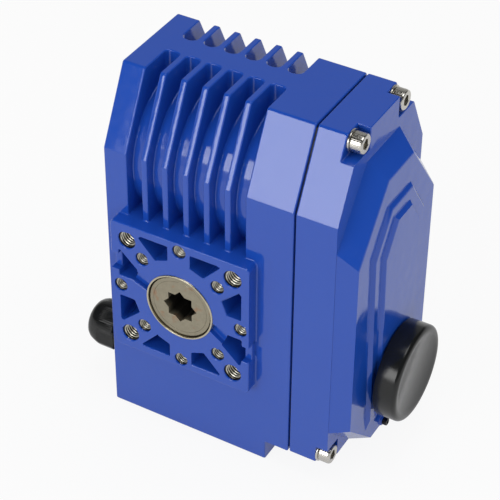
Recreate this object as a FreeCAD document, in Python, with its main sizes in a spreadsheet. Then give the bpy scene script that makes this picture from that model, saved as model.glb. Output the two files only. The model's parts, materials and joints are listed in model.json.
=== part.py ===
import FreeCAD, Part
import math
import os
import re
import Sketcher

# Quarter-turn electric actuator, sizes in millimetres.
# X runs from the cable gland to the cover and its knob, Y runs away from the
# mounting pad into the body, Z is up. The origin is the centre of the drive
# socket on the face of the mounting pad.
#
# A motor in the finned barrel turns a train of spur gears under the cover.
# The last gear turns a worm shaft, which also carries the hand knob, and the
# worm turns a wheel on the output shaft by a quarter turn.

SIZES = [
    ("body_left", -37.8, "left face of the body"),
    ("parting_x", 48.4, "face that the cover closes"),
    ("block_right", 37.4, "right end of the lower block"),
    ("front_y", 5.9, "front face, behind the pad"),
    ("body_depth", 72.8, "front face to back face"),
    ("top_z", 94.5, "top face"),
    ("shoulder_z", 62.5, "where the sloping shoulders start"),
    ("shoulder_run", 15.9, "how far a shoulder leans in"),
    ("neck_z", -62.75, "underside of the neck and the cover"),
    ("base_z", -73.1, "underside of the lower block"),
    ("edge_round", 1.4, "rounding of the long outer edges"),
    ("pad_half_x", 32.5, "half width of the mounting pad"),
    ("pad_half_z", 32.8, "half height of the mounting pad"),
    ("pad_corner", 2.0, "corner rounding of the pad"),
    ("pocket_deep", 13.0, "depth of the relief pockets in the pad"),
    ("pocket_near", 5.2, "pockets start this far from the pad's axes"),
    ("pocket_far", 11.3, "end of a pocket's inner side, from the same axis"),
    ("pocket_tip", 19.0, "outer end of a pocket, from the same axis"),
    ("pocket_r", 22.8, "inner side of the pockets, from the bore's axis"),
    ("pocket_rim", 3.5, "rim of the pad outside the pockets"),
    ("pocket_bevel", 0.9, "blunt tip of a pocket"),
    ("channel_deep", 2.2, "depth of the two drain channels"),
    ("channel_in", 14.8, "inner end of a drain channel, from the bore's axis"),
    ("channel_long", 26.8, "outer end of its long side"),
    ("channel_short", 23.3, "outer end of its short side"),
    ("edge_notch_in", 4.5, "depth of the notch in each side edge of the pad"),
    ("edge_notch_low", 8.0, "near side of that notch, from the middle"),
    ("edge_notch_high", 16.0, "far side of that notch"),
    ("bolt_count", 4, "holes in each bolt circle"),
    ("large_bolt_pcd", 70.0, "bolt circle of the four large holes"),
    ("small_bolt_pcd", 50.0, "bolt circle of the four small holes"),
    ("cross_bolt_pcd", 57.0, "bolt circle of the four holes on the axes"),
    ("large_bolt", 8.0, "thread of the large holes"),
    ("small_bolt", 6.0, "thread of the small holes"),
    ("large_bolt_deep", 14.0, "depth of the large holes"),
    ("small_bolt_deep", 12.0, "depth of the small holes"),
    ("fin_pitch", 9.54, "distance from fin to fin"),
    ("fin_thick", 2.8, "thickness of a fin"),
    ("fin_count", 5, "number of fins"),
    ("slot_web_front", 4.7, "web between the slots, in front of the middle"),
    ("slot_web_back", 5.6, "the same web, behind the middle"),
    ("motor_z", 52.5, "height of the motor axis"),
    ("barrel_r", 32.0, "radius of the barrel round the motor"),
    ("motor_bore_r", 27.5, "radius of the motor chamber"),
    ("motor_bore_end", -31.0, "closed end of the motor chamber"),
    ("centre_distance", 28.9, "worm axis below the output axis"),
    ("worm_bore_r", 11.0, "radius of the worm bore"),
    ("worm_bore_end", -31.0, "closed end of the worm bore"),
    ("gear_bore_r", 22.6, "radius of the wheel chamber"),
    ("gear_bore_floor", 24.0, "floor of the wheel chamber"),
    ("mouth_r", 15.7, "bore of the output mouth"),
    ("mouth_deep", 8.0, "depth of the output mouth"),
    ("front_bush_r", 18.0, "outside of the front bush"),
    ("fit_gap", 0.02, "radial gap of a fixed fit"),
    ("run_gap", 0.04, "radial gap of a running fit"),
    ("side_gap", 0.3, "gap between faces that turn past each other"),
    ("chamber_left", -30.0, "left wall of the terminal chamber"),
    ("chamber_right", 33.4, "right wall of the terminal chamber"),
    ("chamber_top", -43.0, "ceiling of the terminal chamber"),
    ("chamber_floor", -69.9, "floor of the terminal chamber"),
    ("chamber_wall", 4.6, "front and back wall of the terminal chamber"),
    ("passage_wall", 9.9, "front and back wall of the passage to the cover"),
    ("passage_floor", -59.3, "floor of the passage to the cover"),
    ("plate_thick", 2.8, "gear plate"),
    ("plate_low", -42.0, "lower edge of the gear plate"),
    ("plate_high", 83.0, "upper edge of the gear plate"),
    ("plate_shoulder", 62.0, "height where the gear plate narrows"),
    ("plate_inset", 8.4, "gear plate edge inside the front and back faces"),
    ("plate_top_inset", 18.1, "narrow end inside the front and back faces"),
    ("pinion_hole_r", 10.0, "hole in the gear plate for the motor pinion"),
    ("plate_screw", 4.0, "thread of the gear plate's screws"),
    ("plate_screw_grip", 10.0, "length of those screws"),
    ("plate_screw_side", 3.5, "lower plate screws inside the plate's sides"),
    ("plate_screw_top_side", 1.5, "upper plate screws inside its narrow sides"),
    ("plate_screw_low", 4.0, "lower plate screws above its lower edge"),
    ("plate_screw_high", 4.8, "upper plate screws below its upper edge"),
    ("seal_gap", 0.8, "gap at the parting line"),
    ("seal_inset", 1.6, "gasket inside the outer faces"),
    ("seal_clear", 1.0, "gasket beside the gear plate"),
    ("rim_x", 67.0, "outer rim of the cover"),
    ("face_x", 75.2, "raised face of the cover"),
    ("panel_base_top", 80.5, "top of the raised panel at the rim"),
    ("panel_base_half", 14.0, "half width of the panel's top edge at the rim"),
    ("panel_base_high", 50.8, "height where the panel reaches the front face"),
    ("panel_base_low", -43.4, "lower height where it leaves the front face"),
    ("panel_top", 72.1, "top of the raised face"),
    ("panel_top_half", 10.8, "half width of the raised face's top edge"),
    ("panel_side_in", 3.6, "lean of the panel's sides"),
    ("panel_high", 42.9, "height where the raised face is widest"),
    ("panel_low", -41.2, "lower height where it is widest"),
    ("panel_bottom", -61.6, "bottom of the raised face"),
    ("panel_bottom_half", 12.4, "half width of the raised face's bottom edge"),
    ("cover_wall", 4.3, "wall of the cover"),
    ("cover_floor_x", 63.4, "inner floor of the cover behind the rim"),
    ("boss_wall", 3.8, "wall between the hollow and the screw corners"),
    ("boss_rise", 9.1, "height of the slope over a bottom corner's screw"),
    ("hollow_drop", 2.5, "hollow's shoulder below the outer one"),
    ("panel_wall", 4.0, "side wall of the raised panel"),
    ("cover_face_wall", 3.2, "wall of the raised face"),
    ("step_high", 1.5, "height of each of the two arched steps on the panel"),
    ("step_run", 1.5, "width of a step's slope"),
    ("step_ramp", 6.0, "length of the slope at a step's lower end"),
    ("arch_lean", 0.044, "how much an arch narrows per millimetre downwards"),
    ("arch_half", 22.5, "half width of the outer arch"),
    ("arch_knee", 40.8, "height where the outer arch is widest"),
    ("arch_top", 59.2, "top of the outer arch"),
    ("arch_top_half", 9.6, "half width of its top"),
    ("arch_low", -53.0, "lower end of the outer arch"),
    ("core_half", 16.3, "half width of the inner arch"),
    ("core_knee", 38.2, "height where the inner arch is widest"),
    ("core_top", 52.7, "top of the inner arch"),
    ("core_top_half", 6.6, "half width of its top"),
    ("core_low", -50.0, "lower end of the inner arch"),
    ("notch_floor_x", 61.5, "face under the cover screws"),
    ("notch_top_in", 8.3, "top notches start this far inside the top's front edge"),
    ("notch_top_z", 84.6, "lower side of the top notches"),
    ("notch_low_in", 9.3, "width of the bottom notches"),
    ("notch_low_z", -53.6, "upper side of the bottom notches"),
    ("screw_top_in", 3.5, "top cover screws inside the top's front and back edges"),
    ("screw_top_z", 89.9, "height of the top cover screws"),
    ("screw_low_in", 4.4, "bottom cover screws inside the front and back faces"),
    ("screw_low_z", -58.8, "height of the bottom cover screws"),
    ("cover_screw", 5.0, "thread of the cover screws"),
    ("cover_screw_grip", 25.0, "length of the cover screws"),
    ("washer_thick", 1.0, "washers under the cover screws"),
    ("screw_clear", 0.25, "radial clearance of a screw's through hole"),
    ("shaft_r", 14.3, "radius of the output shaft at its mouth"),
    ("shaft_start", 0.3, "front end of the output shaft"),
    ("shaft_collar_r", 17.5, "collar behind the front bush"),
    ("hub_before", 12.3, "front of the wheel's hub before the middle of the body"),
    ("wheel_seat_r", 13.5, "seat of the worm wheel"),
    ("seat_past_hub", 2.6, "length of that seat behind the wheel's hub"),
    ("journal_r", 7.0, "rear journal"),
    ("journal_short", 4.7, "rear journal ends this far inside the back face"),
    ("spindle_r", 4.0, "spindle of the position indicator"),
    ("spindle_seal_wall", 2.0, "wall of the seal round that spindle"),
    ("spindle_short", 2.6, "spindle ends this far below the window"),
    ("clip_wide", 2.2, "height of the circlip above the wheel's seat"),
    ("clip_in", 0.85, "depth of the circlip in its groove"),
    ("clip_thick", 1.0, "thickness of the circlip"),
    ("seal_lip", 1.2, "front of the output seal behind the shaft's end"),
    ("seal_thick", 5.2, "thickness of the output seal"),
    ("insert_r", 12.6, "outside of the star insert"),
    ("insert_long", 16.0, "length of the star insert"),
    ("star_flats", 11.0, "across flats of the star socket"),
    ("stem_well_r", 5.7, "hole behind the insert, for a stem's turned end"),
    ("socket_floor", 21.0, "floor of that hole"),
    ("key_wide", 5.0, "width of the wheel key"),
    ("key_long", 16.0, "length of the wheel key"),
    ("key_proud", 2.0, "height of the key above the seat"),
    ("wheel_module", 1.25, "module of the worm wheel"),
    ("wheel_teeth", 32, "teeth of the worm wheel"),
    ("wheel_wide", 10.0, "face width of the wheel"),
    ("wheel_hub_r", 17.8, "hub of the wheel"),
    ("wheel_hub_long", 20.0, "length of the wheel's hub"),
    ("worm_turns", 4.5, "turns of the worm's thread"),
    ("worm_shoulder_r", 6.0, "worm shaft beside the worm"),
    ("worm_shaft_r", 5.0, "worm shaft at its bearings"),
    ("bearing_r", 10.96, "outside of the worm bearings"),
    ("bearing_wide", 7.0, "width of the worm bearings"),
    ("bearing_inner_r", 6.6, "outside of a bearing's inner ring"),
    ("bearing_outer_r", 8.8, "inside of a bearing's outer ring"),
    ("shield_thick", 1.2, "shield between a bearing's rings"),
    ("train_module", 1.25, "module of the spur gears"),
    ("pinion_teeth", 12, "motor pinion"),
    ("large_teeth", 32, "large wheel of the compound gear"),
    ("small_teeth", 16, "small wheel of the compound gear"),
    ("idler_teeth", 24, "idler gear"),
    ("input_teeth", 26, "gear on the worm shaft"),
    ("back_lash", 0.3, "play between two meshed gears"),
    ("large_x", 49.8, "first face of the large wheel"),
    ("large_wide", 4.0, "face width of the large wheel"),
    ("small_x", 54.6, "first face of the small wheel"),
    ("small_wide", 6.0, "face width of the small wheel"),
    ("axle_r", 2.5, "radius of the gear axles"),
    ("spacer_wall", 1.0, "wall of the spacers on the gear axles"),
    ("axle_clip_wall", 2.0, "height of the clips on the gear axles"),
    ("axle_clip_thick", 0.8, "thickness of those clips"),
    ("axle_clip_in", 1.2, "clips inside the axles' ends"),
    ("gear_hub_wall", 3.5, "hub between the wheels of the compound gear"),
    ("face_step", 0.4, "how much wider one of two meshed gears is, each side"),
    ("axle_end", 62.2, "outer end of the gear axles"),
    ("rotor_r", 12.5, "radius of the motor rotor"),
    ("motor_shaft_r", 3.0, "radius of the motor shaft"),
    ("motor_wall", 1.4, "wall of the motor's can"),
    ("bell_thick", 6.0, "thickness of the motor's end bell"),
    ("motor_bush_wall", 3.0, "wall of the motor's bushes"),
    ("stator_back", 14.0, "stator from the can's closed end"),
    ("stator_front", 12.0, "stator from the end bell"),
    ("coil_over", 8.0, "windings beyond each end of the stator"),
    ("coil_in", 2.6, "windings inside the can's wall"),
    ("rotor_gap", 0.6, "air gap round the rotor"),
    ("rotor_over", 2.0, "rotor beyond each end of the stator"),
    ("feedback_teeth", 20, "gear on the output shaft"),
    ("sensor_teeth", 10, "gear of the position sensor"),
    ("feedback_module", 1.0, "module of the position gears"),
    ("feedback_gap", 0.6, "gap between the wheel's seat and the position gears"),
    ("feedback_wide", 4.8, "width of the gear on the output shaft"),
    ("cap_r", 30.0, "flange of the rear cap"),
    ("cap_thick", 3.5, "thickness of that flange"),
    ("spigot_gap", 2.0, "gap between the position gears and the rear cap"),
    ("spigot_r", 20.2, "spigot of the rear cap inside the wheel chamber"),
    ("spigot_seat", 5.0, "length of the cap's fit in the chamber's mouth"),
    ("rear_bush_r", 9.0, "outside of the rear bush"),
    ("sensor_r", 4.2, "body of the position sensor"),
    ("sensor_long", 12.8, "length of the position sensor"),
    ("sensor_spindle_r", 1.5, "spindle of the sensor's gear"),
    ("sensor_hole", 4.0, "how far that spindle reaches into the cap"),
    ("cap_screw", 4.0, "thread of the rear cap's screws"),
    ("cap_screw_grip", 11.0, "length of those screws"),
    ("window_screw", 3.0, "thread of the window's screws"),
    ("window_screw_grip", 5.5, "length of those screws"),
    ("window_screw_in", 2.9, "those screws inside the window's edge"),
    ("cap_screw_pcd", 52.6, "bolt circle of the rear cap"),
    ("window_r", 22.6, "flange of the indicator window"),
    ("window_high", 8.2, "height of the indicator window"),
    ("window_wall", 1.4, "wall of the indicator window"),
    ("window_flange", 2.0, "thickness of its flange"),
    ("window_bevel", 1.2, "bevel of its edge"),
    ("indicator_r", 14.6, "radius of the indicator disc"),
    ("indicator_thick", 1.6, "thickness of the indicator disc"),
    ("indicator_hub_wall", 2.0, "hub of the indicator disc"),
    ("knob_r", 21.3, "radius of the hand knob"),
    ("knob_x", 78.7, "underside of the hand knob"),
    ("knob_high", 10.1, "height of the hand knob"),
    ("knob_wall", 2.6, "wall of the hand knob"),
    ("knob_round", 1.8, "rounding of its outer edge"),
    ("knob_rim", 3.4, "rim round its face"),
    ("knob_dish", 0.5, "depth of its face inside the rim"),
    ("knob_hub_r", 9.0, "hub of the hand knob"),
    ("knob_bush_r", 7.0, "outside of the knob bush"),
    ("bush_flange", 1.5, "flange of the knob bush"),
    ("pin_r", 1.25, "radius of the knob's cross pin"),
    ("lock_screw", 2.0, "thread of the small screw below the knob"),
    ("lock_screw_grip", 5.0, "length of that screw"),
    ("lock_boss_r", 2.4, "boss under that screw"),
    ("lock_boss_high", 0.9, "height of that boss"),
    ("lock_aside", 2.3, "that screw in front of the knob's axis"),
    ("lock_up", 2.1, "that screw above the raised face's bottom edge"),
    ("gland_y", 24.0, "cable gland from the pad face"),
    ("gland_z", -48.3, "height of the cable gland"),
    ("gland_thread_r", 7.9, "thread of the cable gland"),
    ("gland_flats", 20.0, "across flats of the gland"),
    ("gland_base", 5.0, "thickness of the gland's hexagon"),
    ("gland_nut", 14.8, "length of the gland's dome nut"),
    ("gland_collar", 8.1, "length of the collar inside the dome nut"),
    ("gland_bore_r", 4.5, "cable passage of the gland's seal"),
    ("gland_entry_r", 5.3, "wider passage of the gland's body"),
    ("gland_washer", 1.0, "flat washer under the gland"),
    ("gland_bevel", 0.9, "bevel of the gland's hexagon"),
    ("gland_wall", 3.1, "wall of the dome nut at its flats"),
    ("gland_round", 3.4, "rounding of the dome nut's end"),
    ("gland_lip", 1.4, "lip at the dome nut's mouth"),
    ("board_thick", 1.6, "control board"),
    ("board_z", -64.6, "underside of the control board"),
    ("board_end_gap", 2.7, "gap at the board's left and right ends"),
    ("board_side_gap", 3.3, "gap at the board's front and back edges"),
    ("board_screw", 3.0, "thread of the board's screws"),
    ("board_screw_in", 4.0, "board screws inside its corners"),
    ("block_in", 9.0, "terminal block from the board's left end"),
    ("block_wide", 10.0, "width of the terminal block"),
    ("block_high", 11.0, "height of the terminal block"),
    ("block_short", 8.0, "terminal block inside the board's edges"),
    ("block_ways", 6, "wires that the terminal block takes"),
    ("terminal_r", 1.7, "terminal screws"),
    ("relay_in", 8.0, "relays from the board's right end"),
    ("relay_side", 9.0, "first relay from the board's front edge"),
    ("relay_wide", 10.0, "width of a relay"),
    ("relay_long", 17.0, "length of a relay"),
    ("relay_high", 13.0, "height of a relay"),
    ("relay_gap", 3.0, "gap between the relays"),
    ("capacitor_r", 7.0, "radius of the motor's capacitor"),
    ("capacitor_long", 34.0, "length of the motor's capacitor"),
    ("capacitor_side", 11.0, "capacitor from the board's front edge"),
]

doc = FreeCAD.newDocument("quarter_turn_actuator")
sheet = doc.addObject("Spreadsheet::Sheet", "Sizes")
for row, (name, value, note) in enumerate(SIZES, 1):
    sheet.set("A%d" % row, name)
    sheet.set("B%d" % row, str(value))
    sheet.set("C%d" % row, note)
    sheet.setAlias("B%d" % row, name)
doc.recompute()

NAMES = {name for name, value, note in SIZES}
WORD = re.compile(r"[a-z_][a-z_0-9]*")
PARTS = []
X = FreeCAD.Vector(1, 0, 0)
Y = FreeCAD.Vector(0, 1, 0)
Z = FreeCAD.Vector(0, 0, 1)
ALONG = {
    "+x": FreeCAD.Rotation(Y, 90),
    "-x": FreeCAD.Rotation(Y, -90),
    "+y": FreeCAD.Rotation(X, -90),
    "-y": FreeCAD.Rotation(X, 90),
    "+z": FreeCAD.Rotation(),
    "-z": FreeCAD.Rotation(X, 180),
}

# Lengths that follow from the sizes above, as expressions.
MID_Y = "(front_y + body_depth / 2)"
BACK_Y = "(front_y + body_depth)"
COVER_X = "(parting_x + seal_gap)"
WORM_Z = "(0 - centre_distance)"
WHEEL_R = "(wheel_module * wheel_teeth / 2)"
WORM_R = "(centre_distance - %s)" % WHEEL_R
TOP_HALF = "(body_depth / 2 - shoulder_run)"
TOP_NOTCH = "(%s - notch_top_in)" % TOP_HALF
LOW_NOTCH = "(body_depth / 2 - notch_low_in)"
TOP_SCREW = "(%s - screw_top_in)" % TOP_HALF
LOW_SCREW = "(body_depth / 2 - screw_low_in)"
HUB_Y = "(%s - hub_before)" % MID_Y
SEAT_END = "(%s + wheel_hub_long + seat_past_hub)" % HUB_Y
KEY_Y = "(%s + 2)" % HUB_Y
CLIP_Y = "(%s + wheel_hub_long + 0.1)" % HUB_Y
FEEDBACK_Y = "(%s + feedback_gap)" % SEAT_END
SPIGOT_Y = "(%s + feedback_wide + spigot_gap)" % FEEDBACK_Y
JOURNAL_END = "(%s - journal_short)" % BACK_Y
CAP_END = "(%s + cap_thick)" % BACK_Y
SPINDLE_END = "(%s + window_high - window_wall - spindle_short)" % CAP_END
SLOT = "(fin_pitch - fin_thick)"
PLATE_X = "(parting_x - plate_thick)"
LARGE_Z = "(motor_z - train_module * (pinion_teeth + large_teeth) / 2)"
SENSOR_X = "(feedback_module * (feedback_teeth + sensor_teeth) / 2)"
STEP_X = "(face_x + step_high)"
CORE_X = "(face_x + 2 * step_high)"
LOCK_X = "(face_x + lock_boss_high)"
LOCK_Y = "(%s - lock_aside)" % MID_Y
LOCK_Z = "(panel_bottom + lock_up)"
PIN_X = "(knob_x + knob_high / 2)"
SHAFT_END = "(knob_x + knob_high - knob_dish - knob_wall)"


def tied(text):
    """The expression with each size's name pointing at its cell."""
    return WORD.sub(lambda m: "Sizes." + m.group() if m.group() in NAMES else m.group(), str(text))


def num(text):
    """What an expression of sizes comes to."""
    return float(doc.Sizes.evalExpression(tied(text)))


def bind(item, **sizes):
    """Ties properties of an object to expressions of the sizes."""
    for prop, text in sizes.items():
        item.setExpression(prop, tied(text))
    return item


def place(item, x="0", y="0", z="0", turn=None):
    """Stands an object at a point given by expressions."""
    if turn is not None:
        item.Placement = FreeCAD.Placement(FreeCAD.Vector(0, 0, 0), turn)
    for axis, text in (("x", x), ("y", y), ("z", z)):
        item.setExpression("Placement.Base." + axis, tied(text))
    return item


def finished(item, label):
    """Marks an object as a sub-part under its own name."""
    item.Label = label
    PARTS.append(item)
    return item


# Sketch helpers

def new_body(label):
    return finished(doc.addObject("PartDesign::Body", label), label)


def origin_part(body, role):
    return [f for f in body.Origin.OriginFeatures if f.Role == role][0]


def sketch(body, plane, offset="0"):
    """An empty sketch on one of the body's planes, moved along the plane's normal."""
    made = body.newObject("Sketcher::SketchObject", "outline")
    made.AttachmentSupport = [(origin_part(body, plane + "_Plane"), "")]
    made.MapMode = "FlatFace"
    made.setExpression("AttachmentOffset.Base.z", tied(offset))
    return made


def fix_point(made, index, end, a, b):
    for kind, text in (("DistanceX", a), ("DistanceY", b)):
        at = made.addConstraint(Sketcher.Constraint(kind, index, end, num(text)))
        made.setExpression("Constraints[%d]" % at, tied(text))


def polygon(made, points):
    """A closed outline whose corners are tied to expressions."""
    first = made.GeometryCount
    count = len(points)
    spots = [FreeCAD.Vector(num(a), num(b), 0) for a, b in points]
    for i in range(count):
        made.addGeometry(Part.LineSegment(spots[i], spots[(i + 1) % count]))
    for i in range(count):
        after = first + (i + 1) % count
        made.addConstraint(Sketcher.Constraint("Coincident", first + i, 2, after, 1))
    for i, (a, b) in enumerate(points):
        fix_point(made, first + i, 1, a, b)


def rectangle(made, a0, b0, a1, b1):
    polygon(made, [(a0, b0), (a1, b0), (a1, b1), (a0, b1)])


def circle(made, a, b, radius):
    spot = FreeCAD.Vector(num(a), num(b), 0)
    at = made.addGeometry(Part.Circle(spot, Z, num(radius)))
    fix_point(made, at, 3, a, b)
    ring = made.addConstraint(Sketcher.Constraint("Radius", at, num(radius)))
    made.setExpression("Constraints[%d]" % ring, tied(radius))


def fixed_outline(made, points):
    """A closed outline through points that code works out from the sizes."""
    count = len(points)
    for i in range(count):
        a = FreeCAD.Vector(points[i][0], points[i][1], 0)
        b = FreeCAD.Vector(points[(i + 1) % count][0], points[(i + 1) % count][1], 0)
        made.addGeometry(Part.LineSegment(a, b))


# Feature helpers

def faces_back(profile):
    """A sketch on the XZ plane looks towards -Y, the others look towards plus."""
    return profile.AttachmentSupport[0][0].Role == "XZ_Plane"


def pad(body, profile, length):
    """Grows a sketch towards plus X, Y or Z."""
    made = body.newObject("PartDesign::Pad", "pad")
    made.Profile = profile
    made.Reversed = faces_back(profile)
    return bind(made, Length=length)


def pocket(body, profile, length, toward=-1):
    """A cut along plus or minus the sketch's axis, which has to take material away."""
    doc.recompute()
    before = body.Shape.Volume
    made = body.newObject("PartDesign::Pocket", "pocket")
    made.Profile = profile
    made.Reversed = (toward > 0) != faces_back(profile)
    bind(made, Length=length)
    doc.recompute()
    if body.Shape.Volume > before - 1e-6:
        raise ValueError("a pocket of %s cuts nothing" % body.Label)
    return made


def revolve(body, profile, axis):
    made = body.newObject("PartDesign::Revolution", "turned")
    made.Profile = profile
    made.ReferenceAxis = (profile, [axis])
    made.Angle = 360
    return made


def around(body, features, role, count):
    """Repeats features evenly round an axis of the body."""
    made = body.newObject("PartDesign::PolarPattern", "round")
    made.Originals = features
    made.Axis = (origin_part(body, role), [""])
    made.Angle = 360
    bind(made, Occurrences=count)
    body.Tip = made
    return made


def rounded(body, radius, wanted):
    """Rounds the edges that a test picks."""
    doc.recompute()
    base = body.Tip
    names = ["Edge%d" % i for i, e in enumerate(base.Shape.Edges, 1) if wanted(e)]
    made = body.newObject("PartDesign::Fillet", "rounding")
    made.Base = (base, names)
    return bind(made, Radius=radius)


def runs_along(edge, axis):
    """True for a straight edge along an axis."""
    if len(edge.Vertexes) != 2:
        return False
    run = edge.Vertexes[1].Point - edge.Vertexes[0].Point
    return abs(abs(run.dot(axis)) - edge.Length) < 1e-6


def at(value, text):
    return abs(value - num(text)) < 1e-3


def turned(label, axis, points, x="0", y="0", z="0"):
    """A piece turned about X or Y: points are (place along the axis, radius)."""
    body = new_body(label)
    profile = sketch(body, "XY")
    if axis == "x":
        polygon(profile, points)
        revolve(body, profile, "H_Axis")
    else:
        polygon(profile, [(r, a) for a, r in points])
        revolve(body, profile, "V_Axis")
    place(body, x, y, z)
    return body


# Primitive helpers

# Proportions of a socket head cap screw, as shares of its thread's diameter.
HEAD_RADIUS = 0.85
KEY_FLATS = 0.8
KEY_DEEP = 0.5

def cylinder(radius, height, x="0", y="0", z="0", way="+z"):
    made = doc.addObject("Part::Cylinder", "cylinder")
    bind(made, Radius=radius, Height=height)
    return place(made, x, y, z, ALONG[way])


def box(x0, y0, z0, x1, y1, z1):
    made = doc.addObject("Part::Box", "box")
    bind(made, Length="(%s) - (%s)" % (x1, x0), Width="(%s) - (%s)" % (y1, y0),
         Height="(%s) - (%s)" % (z1, z0))
    return place(made, x0, y0, z0)


def prism(flats, height, x="0", y="0", z="0", way="+z"):
    made = doc.addObject("Part::Prism", "prism")
    made.Polygon = 6
    bind(made, Circumradius="(%s) / sqrt(3)" % flats, Height=height)
    return place(made, x, y, z, ALONG[way])


def cut(base, *tools):
    for tool in tools:
        made = doc.addObject("Part::Cut", "cut")
        made.Base = base
        made.Tool = tool
        base = made
    return base


def fuse(*shapes):
    made = doc.addObject("Part::MultiFuse", "joined")
    made.Shapes = list(shapes)
    return made


def common(base, tool):
    made = doc.addObject("Part::Common", "shared")
    made.Base = base
    made.Tool = tool
    return made


def group(label, shapes):
    """Separate solids that share one node."""
    made = doc.addObject("Part::Compound", label)
    made.Links = shapes
    return finished(made, label)


def ring(outer, inner, height, x="0", y="0", z="0", way="+z"):
    return cut(cylinder(outer, height, x, y, z, way), cylinder(inner, height, x, y, z, way))


def socket_screw(thread, grip, spot, way):
    """A socket head cap screw with its head's underside at the spot."""
    x, y, z = spot
    head = cylinder("%s * %g" % (thread, HEAD_RADIUS), thread, way="+z")
    shank = cylinder("%s / 2" % thread, "%s + %s / 2" % (grip, thread), z="0 - (%s)" % grip)
    key = prism("%s * %g" % (thread, KEY_FLATS), thread, z="%s * (1 - %g)" % (thread, KEY_DEEP))
    return place(cut(fuse(head, shank), key), x, y, z, ALONG[way])


# Mounting pad

def mirrored(points, turn_over, flip_x, flip_z):
    """The same corners in another eighth of the pad."""
    made = [(b, a) if turn_over else (a, b) for a, b in points]
    return [("0 - (%s)" % a if flip_x else a, "0 - (%s)" % b if flip_z else b) for a, b in made]


def relief_pockets(body):
    """Eight pockets lighten the pad between the bolt holes and the bore."""
    outer = "pad_half_x - pocket_rim"
    eighth = [("pocket_near", outer), ("pocket_near", "sqrt(pocket_r ^ 2 - pocket_near ^ 2)"),
              ("pocket_far", "sqrt(pocket_r ^ 2 - pocket_far ^ 2)"),
              ("pocket_tip", "%s - pocket_bevel" % outer), ("pocket_tip - pocket_bevel", outer)]
    profile = sketch(body, "XZ")
    for turn_over in (False, True):
        for flip_x in (False, True):
            for flip_z in (False, True):
                polygon(profile, mirrored(eighth, turn_over, flip_x, flip_z))
    pocket(body, profile, "pocket_deep", toward=1)


def drain_channels(body):
    """A notch through each side edge and a slanting channel to the bore."""
    corners = [("channel_long", 166), ("channel_in", 173), ("channel_in", 156),
               ("channel_short", 152)]
    channel = [("%s * cos(%d)" % (r, a), "%s * sin(%d)" % (r, a)) for r, a in corners]
    profile = sketch(body, "XZ")
    for flip in (False, True):
        polygon(profile, mirrored(channel, False, flip, flip))
    pocket(body, profile, "channel_deep", toward=1)
    edge = sketch(body, "XZ")
    floor = "(pad_half_x - edge_notch_in)"
    rectangle(edge, "0 - pad_half_x - 1", "edge_notch_low", "0 - %s" % floor, "edge_notch_high")
    rectangle(edge, floor, "0 - edge_notch_high", "pad_half_x + 1", "0 - edge_notch_low")
    pocket(body, edge, "front_y", toward=1)


def bolt_circle(body, pcd, start, thread, deep):
    profile = sketch(body, "XZ")
    circle(profile, "%s / 2 * cos(%d)" % (pcd, start), "%s / 2 * sin(%d)" % (pcd, start),
           "%s / 2" % thread)
    hole = pocket(body, profile, deep, toward=1)
    around(body, [hole], "Y_Axis", "bolt_count")


# Housing

def body_outline(profile):
    """Front, sloping shoulders, flat top and back of the body, seen along X."""
    front, back = "(front_y)", BACK_Y
    polygon(profile, [
        (front, "neck_z"), (back, "neck_z"), (back, "shoulder_z"),
        ("%s - shoulder_run" % back, "top_z"), ("%s + shoulder_run" % front, "top_z"),
        (front, "shoulder_z")])


def slot_cut(body, y0, y1):
    """Six slots side by side, from the pad's top edge up through the top face."""
    profile = sketch(body, "XZ", "0 - (%s)" % y0)
    first = "0 - (fin_count - 1) / 2 * fin_pitch - fin_thick / 2 - %s" % SLOT
    rectangle(profile, first, "pad_half_z", "%s + %s" % (first, SLOT), "top_z + 1")
    slot = pocket(body, profile, "(%s) - (%s)" % (y1, y0), toward=1)
    row = body.newObject("PartDesign::LinearPattern", "slots")
    row.Originals = [slot]
    row.Direction = (origin_part(body, "X_Axis"), [""])
    bind(row, Length="fin_pitch * fin_count", Occurrences="fin_count + 1")
    body.Tip = row


def main_housing():
    body = new_body("main_housing")
    long_side = "parting_x - body_left"
    profile = sketch(body, "YZ", "body_left")
    body_outline(profile)
    pad(body, profile, long_side)
    foot = sketch(body, "YZ", "body_left")
    rectangle(foot, "front_y", "base_z", BACK_Y, "2 * neck_z - base_z")
    pad(body, foot, "block_right - body_left")
    rounded(body, "edge_round", lambda e: runs_along(e, X) and not at(e.Vertexes[0].Z, "neck_z"))
    plate = sketch(body, "XZ")
    rectangle(plate, "0 - pad_half_x", "0 - pad_half_z", "pad_half_x", "pad_half_z")
    pad(body, plate, "2 * front_y")
    rounded(body, "pad_corner", lambda e: runs_along(e, Y) and e.Length < num("front_y") + 0.1)
    slot_cut(body, "0 - 1", "%s - slot_web_front" % MID_Y)
    slot_cut(body, "%s + slot_web_back" % MID_Y, "%s + 1" % BACK_Y)
    barrel = sketch(body, "YZ", "0 - (fin_count + 1) / 2 * fin_pitch")
    circle(barrel, MID_Y, "motor_z", "barrel_r")
    pad(body, barrel, "(fin_count + 1) * fin_pitch")
    round_bore(body, MID_Y, "motor_z", "motor_bore_r", "motor_bore_end")
    round_bore(body, MID_Y, WORM_Z, "worm_bore_r", "worm_bore_end")
    plate_recess(body)
    wheel_chamber(body)
    terminal_chamber(body)
    relief_pockets(body)
    drain_channels(body)
    bolt_circle(body, "large_bolt_pcd", 45, "large_bolt", "large_bolt_deep")
    bolt_circle(body, "small_bolt_pcd", 45, "small_bolt", "small_bolt_deep")
    bolt_circle(body, "cross_bolt_pcd", 0, "small_bolt", "small_bolt_deep")
    housing_screw_holes(body)
    return body


def round_bore(body, a, b, radius, end):
    profile = sketch(body, "YZ", "parting_x")
    circle(profile, a, b, radius)
    pocket(body, profile, "parting_x - (%s)" % end)


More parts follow.
